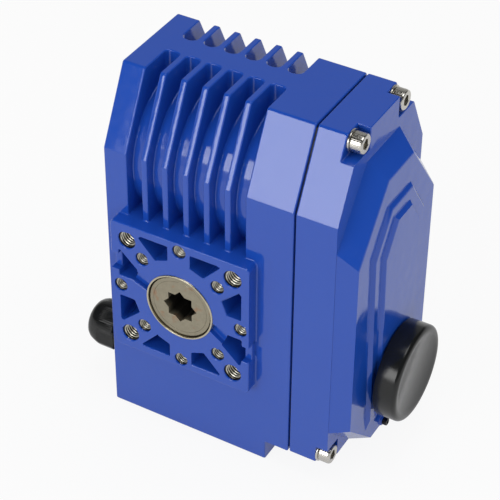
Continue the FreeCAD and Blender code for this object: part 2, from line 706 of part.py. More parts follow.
def plate_outline(profile, grow="0"):
    """Outline of the gear plate, or of its recess when grown."""
    front = "(front_y + plate_inset - %s)" % grow
    back = "(%s - plate_inset + %s)" % (BACK_Y, grow)
    top_front = "(front_y + plate_top_inset - %s)" % grow
    top_back = "(%s - plate_top_inset + %s)" % (BACK_Y, grow)
    low, high = "plate_low - %s" % grow, "plate_high + %s" % grow
    polygon(profile, [(front, low), (back, low), (back, "plate_shoulder"), (top_back, high),
                      (top_front, high), (front, "plate_shoulder")])


def plate_recess(body):
    profile = sketch(body, "YZ", "parting_x")
    plate_outline(profile, "side_gap")
    pocket(body, profile, "plate_thick")


def wheel_chamber(body):
    """The wheel goes in from the back, behind the bush and the mouth."""
    steps = [(BACK_Y, "gear_bore_r", "gear_bore_floor"),
             ("gear_bore_floor", "front_bush_r", "mouth_deep"),
             ("mouth_deep", "mouth_r", "0")]
    for start, radius, end in steps:
        profile = sketch(body, "XZ", "0 - %s" % start)
        circle(profile, "0", "0", radius)
        pocket(body, profile, "%s - %s" % (start, end))


def terminal_chamber(body):
    inner = sketch(body, "YZ", "chamber_right")
    rectangle(inner, "front_y + chamber_wall", "chamber_floor", "%s - chamber_wall" % BACK_Y,
              "chamber_top")
    pocket(body, inner, "chamber_right - chamber_left")
    way = sketch(body, "YZ", "parting_x")
    rectangle(way, "front_y + passage_wall", "passage_floor", "%s - passage_wall" % BACK_Y,
              "chamber_top")
    pocket(body, way, "parting_x - chamber_right + 1")
    entry = sketch(body, "YZ", "body_left")
    circle(entry, "gland_y", "gland_z", "gland_thread_r + fit_gap")
    pocket(body, entry, "chamber_left - body_left + 1", toward=1)


def cover_screw_spots():
    spots = []
    for half, z in ((TOP_SCREW, "screw_top_z"), (LOW_SCREW, "screw_low_z")):
        for side in ("-", "+"):
            spots.append(("%s %s %s" % (MID_Y, side, half), z))
    return spots


def plate_screw_spots():
    high, low = "plate_high - plate_screw_high", "plate_low + plate_screw_low"
    spots = []
    for inset, z in (("plate_top_inset + plate_screw_top_side", high),
                     ("plate_inset + plate_screw_side", low)):
        spots.append(("front_y + %s" % inset, z))
        spots.append(("%s - (%s)" % (BACK_Y, inset), z))
    return spots


def housing_screw_holes(body):
    profile = sketch(body, "YZ", "parting_x")
    for y, z in cover_screw_spots():
        circle(profile, y, z, "cover_screw / 2 + fit_gap")
    pocket(body, profile, "cover_screw_grip - (notch_floor_x + washer_thick - parting_x) + 1")
    small = sketch(body, "YZ", PLATE_X)
    for y, z in plate_screw_spots():
        circle(small, y, z, "plate_screw / 2 + fit_gap")
    pocket(body, small, "plate_screw_grip - plate_thick + 0.6")
    rear = sketch(body, "XZ", "0 - %s" % BACK_Y)
    for x, z in cap_screw_spots():
        circle(rear, x, z, "cap_screw / 2 + fit_gap")
    pocket(body, rear, "cap_screw_grip - cap_thick + 1.5")


# Cover

def panel(points_half, low, high, top, bottom, top_half, bottom_half):
    """Eight corners of the raised panel, counted from its lower front corner."""
    front = "(%s - %s)" % (MID_Y, points_half)
    back = "(%s + %s)" % (MID_Y, points_half)
    return [(front, low), ("%s - %s" % (MID_Y, bottom_half), bottom),
            ("%s + %s" % (MID_Y, bottom_half), bottom), (back, low), (back, high),
            ("%s + %s" % (MID_Y, top_half), top), ("%s - %s" % (MID_Y, top_half), top),
            (front, high)]


def cover():
    body = new_body("cover")
    profile = sketch(body, "YZ", COVER_X)
    body_outline(profile)
    pad(body, profile, "rim_x - %s" % COVER_X)
    rounded(body, "edge_round", lambda e: runs_along(e, X))
    corner_notches(body)
    raised_panel(body)
    arched_step(body, "face_x", "arch")
    arched_step(body, STEP_X, "core")
    cover_hollow(body)
    holes = sketch(body, "YZ", "notch_floor_x")
    for y, z in cover_screw_spots():
        circle(holes, y, z, "cover_screw / 2 + screw_clear")
    pocket(body, holes, "notch_floor_x - %s" % COVER_X)
    shaft_hole = sketch(body, "YZ", CORE_X)
    circle(shaft_hole, MID_Y, WORM_Z, "knob_bush_r + fit_gap")
    pocket(body, shaft_hole, "cover_face_wall + 2 * step_high")
    boss = sketch(body, "YZ", "face_x - cover_face_wall")
    circle(boss, LOCK_Y, LOCK_Z, "lock_boss_r")
    pad(body, boss, "cover_face_wall + lock_boss_high")
    lock = sketch(body, "YZ", LOCK_X)
    circle(lock, LOCK_Y, LOCK_Z, "lock_screw / 2 + fit_gap")
    pocket(body, lock, "lock_screw_grip + 0.6")
    return body


def corner_notches(body):
    profile = sketch(body, "YZ", "rim_x")
    front, back = "(front_y - 2)", "(%s + 2)" % BACK_Y
    for edge, sign in ((front, "-"), (back, "+")):
        rectangle(profile, edge, "notch_top_z", "%s %s %s" % (MID_Y, sign, TOP_NOTCH), "top_z + 2")
        rectangle(profile, edge, "neck_z - 2", "%s %s %s" % (MID_Y, sign, LOW_NOTCH), "notch_low_z")
    pocket(body, profile, "rim_x - notch_floor_x")


def raised_panel(body):
    base = sketch(body, "YZ", "rim_x - 0.6")
    polygon(base, panel("body_depth / 2", "panel_base_low", "panel_base_high", "panel_base_top",
                        "neck_z", "panel_base_half",
                        "(body_depth / 2 - panel_base_low + neck_z)"))
    face = sketch(body, "YZ", "face_x")
    polygon(face, panel("(body_depth / 2 - panel_side_in)", "panel_low", "panel_high",
                        "panel_top", "panel_bottom", "panel_top_half", "panel_bottom_half"))
    made = body.newObject("PartDesign::AdditiveLoft", "panel")
    made.Profile = base
    made.Sections = [face]
    made.Ruled = True
    made.Closed = False


def cover_hollow(body):
    """The hollow keeps clear of the four screw corners."""
    profile = sketch(body, "YZ", COVER_X)
    front = "(front_y + cover_wall)"
    back = "(%s - cover_wall)" % BACK_Y
    low_front = "(%s - %s + boss_wall)" % (MID_Y, LOW_NOTCH)
    low_back = "(%s + %s - boss_wall)" % (MID_Y, LOW_NOTCH)
    low, corner, slope_top = "neck_z + boss_wall", "notch_low_z", "notch_low_z + boss_rise"
    shoulder, high = "shoulder_z - hollow_drop", "notch_top_z - hollow_drop"
    polygon(profile, [
        (low_front, low), (low_back, low), (low_back, corner), (back, slope_top), (back, shoulder),
        ("%s - shoulder_run + boss_wall" % back, high),
        ("%s + shoulder_run - boss_wall" % front, high), (front, shoulder), (front, slope_top),
        (low_front, corner)])
    pocket(body, profile, "cover_floor_x - %s" % COVER_X, toward=1)
    deep = sketch(body, "YZ", COVER_X)
    polygon(deep, panel("(body_depth / 2 - panel_side_in - panel_wall)", "panel_low + panel_wall / 4",
                        "panel_high - panel_wall / 4", "panel_top - panel_wall",
                        "panel_bottom + panel_wall", "panel_top_half - panel_wall / 2",
                        "panel_bottom_half - panel_wall / 4"))
    pocket(body, deep, "face_x - cover_face_wall - %s" % COVER_X, toward=1)


def arch(name, inset, low):
    """Corners of an arched step, with its sides and top moved in by the inset."""
    half, knee, top, top_half = ["%s_%s" % (name, word) for word in ("half", "knee", "top", "top_half")]
    slope = "atan((%s - %s) / (%s - %s))" % (half, top_half, top, knee)
    side = "(%s - %s)" % (half, inset)
    shoulder = "(%s - %s * tan(%s / 2))" % (knee, inset, slope)
    crown = "(%s - %s * tan(45 deg - %s / 2))" % (top_half, inset, slope)
    foot = "(%s - arch_lean * (%s - (%s)))" % (side, shoulder, low)
    high = "%s - %s" % (top, inset)
    one_side = [(foot, low), (side, shoulder), (crown, high)]
    corners = [("%s - %s" % (MID_Y, a), b) for a, b in one_side]
    return corners + [("%s + %s" % (MID_Y, a), b) for a, b in reversed(one_side)]


def arched_step(body, base_x, name):
    """A flat arch that stands on the panel and runs out above its lower edge."""
    foot = sketch(body, "YZ", base_x)
    polygon(foot, arch(name, "0", "%s_low" % name))
    top = sketch(body, "YZ", "%s + step_high" % base_x)
    polygon(top, arch(name, "step_run", "%s_low + step_ramp" % name))
    made = body.newObject("PartDesign::AdditiveLoft", "step")
    made.Profile = foot
    made.Sections = [top]
    made.Ruled = True
    doc.recompute()


def cover_gasket():
    """Flat seal in the parting line, open round the gear plate and the cable passage."""
    body = new_body("cover_gasket")
    profile = sketch(body, "YZ", "parting_x")
    front, back = "(front_y + seal_inset)", "(%s - seal_inset)" % BACK_Y
    low, high = "neck_z + seal_inset", "top_z - seal_inset"
    polygon(profile, [
        (front, low), (back, low), (back, "shoulder_z"), ("%s - shoulder_run" % BACK_Y, high),
        ("front_y + shoulder_run", high), (front, "shoulder_z")])
    pad(body, profile, "seal_gap")
    inner = sketch(body, "YZ", "parting_x")
    opening = []
    for inset, z in (("passage_wall", "passage_floor"), ("passage_wall", "notch_low_z + seal_clear"),
                     ("(plate_inset - seal_clear)", "plate_low - seal_clear"),
                     ("(plate_inset - seal_clear)", "plate_shoulder"),
                     ("(plate_top_inset - seal_clear)", "plate_high + seal_clear")):
        opening.append(("front_y + %s" % inset, z))
        opening.insert(0, ("%s - %s" % (BACK_Y, inset), z))
    polygon(inner, opening)
    pocket(body, inner, "seal_gap", toward=1)
    holes = sketch(body, "YZ", "parting_x")
    for y, z in cover_screw_spots():
        circle(holes, y, z, "cover_screw / 2 + screw_clear")
    pocket(body, holes, "seal_gap", toward=1)
    return body


def cover_fasteners():
    screws = []
    washers = []
    for y, z in cover_screw_spots():
        spot = ("notch_floor_x + washer_thick", y, z)
        screws.append(socket_screw("cover_screw", "cover_screw_grip", spot, "+x"))
        washers.append(ring("cover_screw * 0.95", "cover_screw / 2 + screw_clear",
                            "washer_thick", "notch_floor_x", y, z, "+x"))
    group("cover_screws", screws)
    group("cover_screw_washers", washers)


# Output shaft and worm wheel

def output_shaft():
    body = turned("output_shaft", "y", [
        ("shaft_start", "0"), ("shaft_start", "shaft_r"), ("gear_bore_floor + side_gap", "shaft_r"),
        ("gear_bore_floor + side_gap", "shaft_collar_r"), (HUB_Y, "shaft_collar_r"),
        (HUB_Y, "wheel_seat_r"), (SEAT_END, "wheel_seat_r"), (SEAT_END, "journal_r"),
        (JOURNAL_END, "journal_r"), (JOURNAL_END, "spindle_r"), (SPINDLE_END, "spindle_r"),
        (SPINDLE_END, "0")])
    seat = sketch(body, "XZ", "0 - shaft_start")
    circle(seat, "0", "0", "insert_r")
    pocket(body, seat, "insert_long", toward=1)
    relief = sketch(body, "XZ", "0 - shaft_start")
    circle(relief, "0", "0", "stem_well_r")
    pocket(body, relief, "socket_floor - shaft_start", toward=1)
    key_way = sketch(body, "XZ", "0 - %s" % KEY_Y)
    rectangle(key_way, "0 - key_wide / 2", "wheel_seat_r - key_proud", "key_wide / 2",
              "wheel_seat_r + 1")
    pocket(body, key_way, "key_long", toward=1)
    clip = sketch(body, "XY")
    rectangle(clip, "wheel_seat_r - clip_in - run_gap", CLIP_Y, "wheel_seat_r + 1",
              "%s + clip_thick + 0.2" % CLIP_Y)
    doc.recompute()
    groove = body.newObject("PartDesign::Groove", "clip_groove")
    groove.Profile = clip
    groove.ReferenceAxis = (clip, ["V_Axis"])
    groove.Angle = 360
    return body


def drive_insert():
    """Hardened insert with a star socket made of two squares."""
    body = new_body("drive_insert")
    profile = sketch(body, "XZ", "0 - shaft_start")
    circle(profile, "0", "0", "insert_r - fit_gap")
    pad(body, profile, "insert_long")
    star = sketch(body, "XZ", "0 - shaft_start")
    points = []
    for k in range(8):
        tip = 45 * k
        points.append(("star_flats / sqrt(2) * cos(%g)" % tip, "star_flats / sqrt(2) * sin(%g)" % tip))
        dent = tip + 22.5
        reach = "star_flats / 2 / cos(22.5)"
        points.append(("%s * cos(%g)" % (reach, dent), "%s * sin(%g)" % (reach, dent)))
    polygon(star, points)
    pocket(body, star, "insert_long + 1", toward=1)
    return body


def output_fittings():
    turned("front_bush", "y", [
        ("mouth_deep", "shaft_r + run_gap"), ("mouth_deep", "front_bush_r - fit_gap"),
        ("gear_bore_floor", "front_bush_r - fit_gap"), ("gear_bore_floor", "shaft_r + run_gap")])
    lip = "shaft_start + seal_lip"
    seal_back = "%s + seal_thick" % lip
    turned("output_seal", "y", [
        (lip, "shaft_r + run_gap"), (lip, "mouth_r - fit_gap"), (seal_back, "mouth_r - fit_gap"),
        (seal_back, "shaft_r + run_gap")])
    turned("rear_bush", "y", [
        ("%s + 1" % SPIGOT_Y, "journal_r + run_gap"), ("%s + 1" % SPIGOT_Y, "rear_bush_r - fit_gap"),
        (JOURNAL_END, "rear_bush_r - fit_gap"), (JOURNAL_END, "journal_r + run_gap")])
    key = box("0 - key_wide / 2 + fit_gap", KEY_Y, "wheel_seat_r - key_proud + fit_gap",
              "key_wide / 2 - fit_gap", "%s + key_long - fit_gap" % KEY_Y,
              "wheel_seat_r + key_proud - fit_gap")
    finished(key, "wheel_key")
    clip = ring("wheel_seat_r + clip_wide", "wheel_seat_r - clip_in", "clip_thick",
                y="%s + 0.1" % CLIP_Y, way="+y")
    opening = box("0 - clip_wide", CLIP_Y, "0 - wheel_seat_r - 2 * clip_wide", "clip_wide",
                  "%s + 2 * clip_thick" % CLIP_Y, "0")
    finished(cut(clip, opening), "wheel_circlip")


# Gear teeth

# Tooth proportions, as shares of the module, and the pressure angle.
ROOT_DEEP = 1.25
TIP_HIGH = 0.95
PRESSURE = math.radians(20)

def flank_angle(radius, pitch_r, teeth, play):
    """Half the angle that a tooth takes at a radius, for an involute at 20 degrees."""
    base_r = pitch_r * math.cos(PRESSURE)
    half = math.pi / 2 / teeth - play / 4 / pitch_r
    lean = math.tan(PRESSURE) - PRESSURE
    roll = math.acos(min(1.0, base_r / radius))
    return half + lean - (math.tan(roll) - roll)


def tooth_outline(module, teeth, angle, play, root_in=0.5):
    """Corners of one tooth whose middle points at an angle in degrees."""
    pitch_r = module * teeth / 2
    root_r = pitch_r - ROOT_DEEP * module
    tip_r = pitch_r + TIP_HIGH * module
    levels = [root_r - root_in, root_r + 0.35 * module, pitch_r, tip_r]
    side = []
    for r in levels:
        half = flank_angle(max(r, pitch_r * 0.94), pitch_r, teeth, play)
        side.append((r, half))
    middle = math.radians(angle)
    ring_points = [(r, middle - half) for r, half in side]
    ring_points += [(r, middle + half) for r, half in reversed(side)]
    return [(r * math.cos(a), r * math.sin(a)) for r, a in ring_points]


def teeth_on(body, plane, axis, offset, wide, module, teeth, angle, twist=0.0):
    """Adds a ring of teeth to a body; twist turns them along the gear's width."""
    size, count, play = num(module), int(num(teeth)), num("back_lash")
    if twist:
        ends = []
        for part, turn in (("0", -twist), (wide, twist)):
            sign = "-" if plane == "XZ" else "+"
            made = sketch(body, plane, "%s %s (%s)" % (offset, sign, part))
            fixed_outline(made, tooth_outline(size, count, angle + turn, play))
            ends.append(made)
        tooth = body.newObject("PartDesign::AdditiveLoft", "tooth")
        tooth.Profile = ends[0]
        tooth.Sections = [ends[1]]
        tooth.Ruled = True
    else:
        made = sketch(body, plane, offset)
        fixed_outline(made, tooth_outline(size, count, angle, play))
        tooth = pad(body, made, wide)
    doc.recompute()
    around(body, [tooth], axis, teeth)


def root_radius(module, teeth):
    return "(%s * (%s / 2 - %g))" % (module, teeth, ROOT_DEEP)


def spur_gear(label, x, wide, teeth, angle, bore, y, z, module="train_module"):
    """A gear that turns about X; its body sits on its own axis."""
    body = new_body(label)
    disc = sketch(body, "YZ", x)
    circle(disc, "0", "0", root_radius(module, teeth))
    pad(body, disc, wide)
    teeth_on(body, "YZ", "X_Axis", x, wide, module, teeth, angle)
    hole = sketch(body, "YZ", x)
    circle(hole, "0", "0", bore)
    pocket(body, hole, wide, toward=1)
    place(body, "0", y, z)
    return body


def worm_wheel():
    """Bronze wheel whose teeth lean with the worm's thread."""
    body = new_body("worm_wheel")
    front = "(%s - wheel_wide / 2)" % MID_Y
    disc = sketch(body, "XZ", "0 - %s" % front)
    circle(disc, "0", "0", root_radius("wheel_module", "wheel_teeth"))
    pad(body, disc, "wheel_wide")
    lead = num("wheel_module") / 2 / num(WORM_R)
    twist = math.degrees(lead * num("wheel_wide") / 2 / num(WHEEL_R))
    teeth_on(body, "XZ", "Y_Axis", "0 - %s" % front, "wheel_wide", "wheel_module",
             "wheel_teeth", wheel_phase(), twist * WORM_HAND)
    hub = sketch(body, "XZ", "0 - %s" % HUB_Y)
    circle(hub, "0", "0", "wheel_hub_r")
    pad(body, hub, "wheel_hub_long")
    bore = sketch(body, "XZ", "0 - %s" % HUB_Y)
    circle(bore, "0", "0", "wheel_seat_r + fit_gap")
    pocket(body, bore, "wheel_hub_long", toward=1)
    slot = sketch(body, "XZ", "0 - %s" % HUB_Y)
    rectangle(slot, "0 - key_wide / 2", "wheel_seat_r - 1", "key_wide / 2",
              "wheel_seat_r + key_proud")
    pocket(body, slot, "wheel_hub_long", toward=1)
    return body


# The thread is right-handed, so the teeth lean against the sketch angle.
WORM_HAND = -1.0
# The thread starts this many modules below the pitch line, sunk in the shaft.
WORM_ROOT = -1.6


def wheel_phase():
    """A gap of the wheel faces the worm, straight down."""
    return -90.0 + 180.0 / num("wheel_teeth")


def mate(tooth, teeth, toward, other):
    """Angle of a tooth on the second gear so that it meshes with the first."""
    gap = toward + 180.0 - (tooth - toward) * num(teeth) / num(other)
    return gap + 180.0 / num(other)


def worm_profile():
    """Corners of the thread where it starts, and the length that it climbs."""
    size = num("wheel_module")
    lead = math.pi * size
    turns_each_side = round(num("worm_turns") / 2 - 0.25) + 0.25
    start = -turns_each_side * lead
    pitch_r = num(WORM_R)
    thick = lead / 2 - num("back_lash") / 2
    lean = math.tan(PRESSURE)
    corners = []
    for r, side in ((WORM_ROOT, -1), (TIP_HIGH, -1), (TIP_HIGH, 1), (WORM_ROOT, 1)):
        half = thick / 2 - r * size * lean
        corners.append((start + side * half, pitch_r + r * size))
    return corners, 2 * turns_each_side * lead


def worm_shaft():
    """Steel shaft with a single-start worm, two bearing seats and the knob's end."""
    half = "(worm_turns / 2 + 0.4) * pi * wheel_module"
    root = "(%s - 1.2 * wheel_module)" % WORM_R
    near = "(worm_bore_end + side_gap)"
    rear_end = "(worm_bore_end + bearing_wide)"
    front_seat = "(%s - bearing_wide)" % PLATE_X
    body = turned("worm_shaft", "x", [
        (near, "0"), (near, "worm_shaft_r"), (rear_end, "worm_shaft_r"),
        (rear_end, "worm_shoulder_r"), ("0 - %s" % half, "worm_shoulder_r"),
        ("0 - %s" % half, root), (half, root), (half, "worm_shoulder_r"),
        (front_seat, "worm_shoulder_r"), (front_seat, "worm_shaft_r"),
        (SHAFT_END, "worm_shaft_r"), (SHAFT_END, "0")], "0", MID_Y, WORM_Z)
    corners, climb = worm_profile()
    profile = sketch(body, "XY")
    fixed_outline(profile, corners)
    thread = body.newObject("PartDesign::AdditiveHelix", "thread")
    thread.Profile = profile
    thread.ReferenceAxis = (profile, ["H_Axis"])
    thread.Mode = 0
    thread.LeftHanded = False
    thread.Height = climb
    bind(thread, Pitch="pi * wheel_module")
    doc.recompute()
    cross = sketch(body, "XY", "0 - worm_shaft_r - 1")
    circle(cross, PIN_X, "0", "pin_r + fit_gap")
    pocket(body, cross, "2 * worm_shaft_r + 2", toward=1)
    return body


def worm_bearings():
    """Two ball bearings, as rings with the cage of balls between them."""
    spots = ["worm_bore_end", "(%s - bearing_wide)" % PLATE_X]
    wide = "bearing_wide"
    rings = [ring("bearing_r", "bearing_outer_r", wide, x, MID_Y, WORM_Z, "+x") for x in spots]
    group("worm_bearing_outer_rings", rings)
    inner = [ring("bearing_inner_r", "worm_shaft_r + fit_gap", "bearing_wide - 2 * side_gap",
                  "%s + side_gap" % x, MID_Y, WORM_Z, "+x") for x in spots]
    group("worm_bearing_inner_rings", inner)
    shields = [ring("bearing_outer_r - fit_gap", "bearing_inner_r + 2 * run_gap", "shield_thick",
                    "%s + side_gap" % x, MID_Y, WORM_Z, "+x") for x in spots]
    group("worm_bearing_shields", shields)


# Gear train under the cover

def idler_spot():
    """The idler stands off the line between its neighbours by both distances."""
    size = num("train_module") / 2
    near = size * (num("small_teeth") + num("idler_teeth"))
    far = size * (num("input_teeth") + num("idler_teeth"))
    span = num(LARGE_Z) + num("centre_distance")
    down = (near ** 2 - far ** 2 + span ** 2) / (2 * span)
    return math.sqrt(near ** 2 - down ** 2), num(LARGE_Z) - down


def gear_train():
    aside, idler_z = idler_spot()
    idler_y = "%s + %.9f" % (MID_Y, aside)
    idler_at = "%.9f" % idler_z
    from_input = math.degrees(math.atan2(idler_z + num("centre_distance"), aside))
    from_idler = math.degrees(math.atan2(num(LARGE_Z) - idler_z, -aside))
    idler_tooth = mate(from_input, "input_teeth", from_input, "idler_teeth")
    small_tooth = mate(idler_tooth, "idler_teeth", from_idler, "small_teeth")
    spur_gear("worm_input_gear", "small_x", "small_wide", "input_teeth", from_input,
              "worm_shaft_r + fit_gap", MID_Y, WORM_Z)
    spur_gear("idler_gear", "small_x + face_step", "small_wide - 2 * face_step", "idler_teeth", idler_tooth,
              "axle_r + run_gap", idler_y, idler_at)
    compound = new_body("compound_gear")
    for x, wide, teeth, tooth in (("large_x", "large_wide", "large_teeth", 90.0),
                                  ("small_x", "small_wide", "small_teeth", small_tooth)):
        disc = sketch(compound, "YZ", x)
        circle(disc, "0", "0", root_radius("train_module", teeth))
        pad(compound, disc, wide)
        if x == "large_x":
            hub = sketch(compound, "YZ", x)
            circle(hub, "0", "0", "axle_r + gear_hub_wall")
            pad(compound, hub, "small_x - large_x + 1")
        else:
            doc.recompute()
        teeth_on(compound, "YZ", "X_Axis", x, wide, "train_module", teeth, tooth)
    hole = sketch(compound, "YZ", "large_x")
    circle(hole, "0", "0", "axle_r + run_gap")
    pocket(compound, hole, "small_x - large_x + small_wide", toward=1)
    place(compound, "0", MID_Y, LARGE_Z)
    pinion_tooth = mate(90.0, "large_teeth", 90.0, "pinion_teeth")
    spur_gear("motor_pinion", "large_x - face_step", "large_wide + 2 * face_step", "pinion_teeth",
              pinion_tooth, "motor_shaft_r + fit_gap", MID_Y, "motor_z")
    axles = []
    clips = []
    sleeves = []
    for y, z, start in ((MID_Y, LARGE_Z, "large_x"), (idler_y, idler_at, "small_x + face_step")):
        axles.append(cylinder("axle_r", "axle_end - %s" % PLATE_X, PLATE_X, y, z, "+x"))
        clips.append(ring("axle_r + axle_clip_wall", "axle_r + fit_gap", "axle_clip_thick",
                          "axle_end - axle_clip_in", y, z, "+x"))
        sleeves.append(ring("axle_r + spacer_wall", "axle_r + fit_gap",
                            "%s - parting_x - side_gap" % start, "parting_x", y, z, "+x"))
    group("gear_axles", axles)
    group("axle_clips", clips)
    group("axle_spacers", sleeves)
    return aside, idler_z


def gear_plate(aside, idler_z):
    """Steel plate in the mouth of the housing that carries motor and axles."""
    body = new_body("gear_plate")
    profile = sketch(body, "YZ", PLATE_X)
    plate_outline(profile)
    pad(body, profile, "plate_thick")
    holes = sketch(body, "YZ", PLATE_X)
    circle(holes, MID_Y, "motor_z", "pinion_hole_r")
    circle(holes, MID_Y, WORM_Z, "bearing_inner_r")
    circle(holes, MID_Y, LARGE_Z, "axle_r + fit_gap")
    circle(holes, "%s + %.9f" % (MID_Y, aside), "%.9f" % idler_z, "axle_r + fit_gap")
    for y, z in plate_screw_spots():
        circle(holes, y, z, "plate_screw / 2 + screw_clear")
    pocket(body, holes, "plate_thick", toward=1)
    screws = [socket_screw("plate_screw", "plate_screw_grip", ("parting_x", y, z), "+x")
              for y, z in plate_screw_spots()]
    group("gear_plate_screws", screws)


# Motor

def motor():
    """Can, end bell, stator, windings, rotor and bushes round one shaft."""
    can = "(motor_bore_r - fit_gap * 2)"
    back = "(motor_bore_end + side_gap)"
    bell = "(%s - bell_thick)" % PLATE_X
    inner = "(%s - motor_wall)" % can
    mouth = "(motor_shaft_r + motor_bush_wall)"
    stator_0, stator_1 = "(%s + stator_back)" % back, "(%s - stator_front)" % bell
    rotor_0, rotor_1 = "%s - rotor_over" % stator_0, "%s + rotor_over" % stator_1
    tip = "large_x + large_wide + 1"
    axis = ("0", MID_Y, "motor_z")
    turned("motor_can", "x", [
        (back, mouth), (back, can), (bell, can), (bell, inner),
        ("%s + motor_wall" % back, inner), ("%s + motor_wall" % back, mouth)], *axis)
    turned("motor_end_bell", "x", [
        (bell, mouth), (bell, can), (PLATE_X, can), (PLATE_X, mouth)], *axis)
    turned("motor_stator", "x", [
        (stator_0, "rotor_r + rotor_gap"), (stator_0, "%s - fit_gap" % inner),
        (stator_1, "%s - fit_gap" % inner), (stator_1, "rotor_r + rotor_gap")], *axis)
    coils = [ring("%s - coil_in" % inner, "rotor_r + 2 * rotor_gap", "coil_over", x, MID_Y,
                  "motor_z", "+x") for x in ("%s - coil_over" % stator_0, stator_1)]
    group("motor_windings", coils)
    turned("motor_rotor", "x", [
        ("%s + run_gap" % back, "0"), ("%s + run_gap" % back, "motor_shaft_r"),
        (rotor_0, "motor_shaft_r"), (rotor_0, "rotor_r"), (rotor_1, "rotor_r"),
        (rotor_1, "motor_shaft_r"), (tip, "motor_shaft_r"), (tip, "0")], *axis)
    bushes = [ring("%s - fit_gap" % mouth, "motor_shaft_r + run_gap", "bell_thick", x, MID_Y,
                   "motor_z", "+x") for x in (back, bell)]
    group("motor_bushes", bushes)


# Rear cap and position indicator

def cap_screw_spots():
    return [("cap_screw_pcd / 2 * cos(%d)" % a, "cap_screw_pcd / 2 * sin(%d)" % a)
            for a in (45, 135, 225, 315)]


def window_screw_spots():
    reach = "(window_r - window_screw_in)"
    return [("%s * cos(%d)" % (reach, a), "%s * sin(%d)" % (reach, a)) for a in (0, 90, 180, 270)]


def rear_cap():
    """Round cap that closes the wheel chamber and carries the rear bush."""
    body = turned("rear_cap", "y", [
        (SPIGOT_Y, "rear_bush_r"), (SPIGOT_Y, "spigot_r"), ("%s - spigot_seat" % BACK_Y, "spigot_r"),
        ("%s - spigot_seat" % BACK_Y, "gear_bore_r - run_gap"),
        (BACK_Y, "gear_bore_r - run_gap"), (BACK_Y, "cap_r"), (CAP_END, "cap_r"),
        (CAP_END, "spindle_r + spindle_seal_wall"),
        ("%s + side_gap" % JOURNAL_END, "spindle_r + spindle_seal_wall"),
        ("%s + side_gap" % JOURNAL_END, "rear_bush_r")])
    seat = sketch(body, "XZ", "0 - %s" % SPIGOT_Y)
    circle(seat, SENSOR_X, "0", "sensor_r + fit_gap")
    pocket(body, seat, "sensor_long - side_gap", toward=1)
    holes = sketch(body, "XZ", "0 - %s" % CAP_END)
    for x, z in cap_screw_spots():
        circle(holes, x, z, "cap_screw / 2 + screw_clear")
    pocket(body, holes, "cap_thick + 1")
    small = sketch(body, "XZ", "0 - %s" % CAP_END)
    for x, z in window_screw_spots():
        circle(small, x, z, "window_screw / 2 + fit_gap")
    pocket(body, small, "window_screw_grip + 0.5")
    screws = [socket_screw("cap_screw", "cap_screw_grip", (x, CAP_END, z), "+y")
              for x, z in cap_screw_spots()]
    group("rear_cap_screws", screws)
    seal_start = "%s + 5 * side_gap" % JOURNAL_END
    seal_r = "spindle_r + spindle_seal_wall - fit_gap"
    turned("spindle_seal", "y", [
        (seal_start, "spindle_r + run_gap"), (seal_start, seal_r), (CAP_END, seal_r),
        (CAP_END, "spindle_r + run_gap")])


def position_indicator():
    """Dial on the spindle's end under a clear window."""
    disc_y = "(%s + 4 * side_gap)" % CAP_END
    disc_back = "(%s + indicator_thick)" % disc_y
    hub_end = "(%s - side_gap)" % SPINDLE_END
    hub = "spindle_r + indicator_hub_wall"
    turned("indicator_disc", "y", [
        (disc_y, "spindle_r + fit_gap"), (disc_y, "indicator_r"), (disc_back, "indicator_r"),
        (disc_back, hub), (hub_end, hub), (hub_end, "spindle_r + fit_gap")])
    room = "(indicator_r + 2 * side_gap)"
    inner = "(window_high - window_wall)"
    body = turned("indicator_window", "y", [
        ("0", room), ("0", "window_r"), ("window_flange", "window_r"),
        ("window_flange", "%s + window_wall" % room),
        ("window_high - window_bevel", "%s + window_wall" % room),
        ("window_high", "%s + window_wall - window_bevel" % room), ("window_high", "0"),
        (inner, "0"), (inner, room)], y=CAP_END)
    holes = sketch(body, "XZ", "0")
    for x, z in window_screw_spots():
        circle(holes, x, z, "window_screw / 2 + screw_clear")
    pocket(body, holes, "window_flange", toward=1)
    screws = [socket_screw("window_screw", "window_screw_grip",
                           (x, "%s + window_flange" % CAP_END, z), "+y")
              for x, z in window_screw_spots()]
    group("indicator_window_screws", screws)


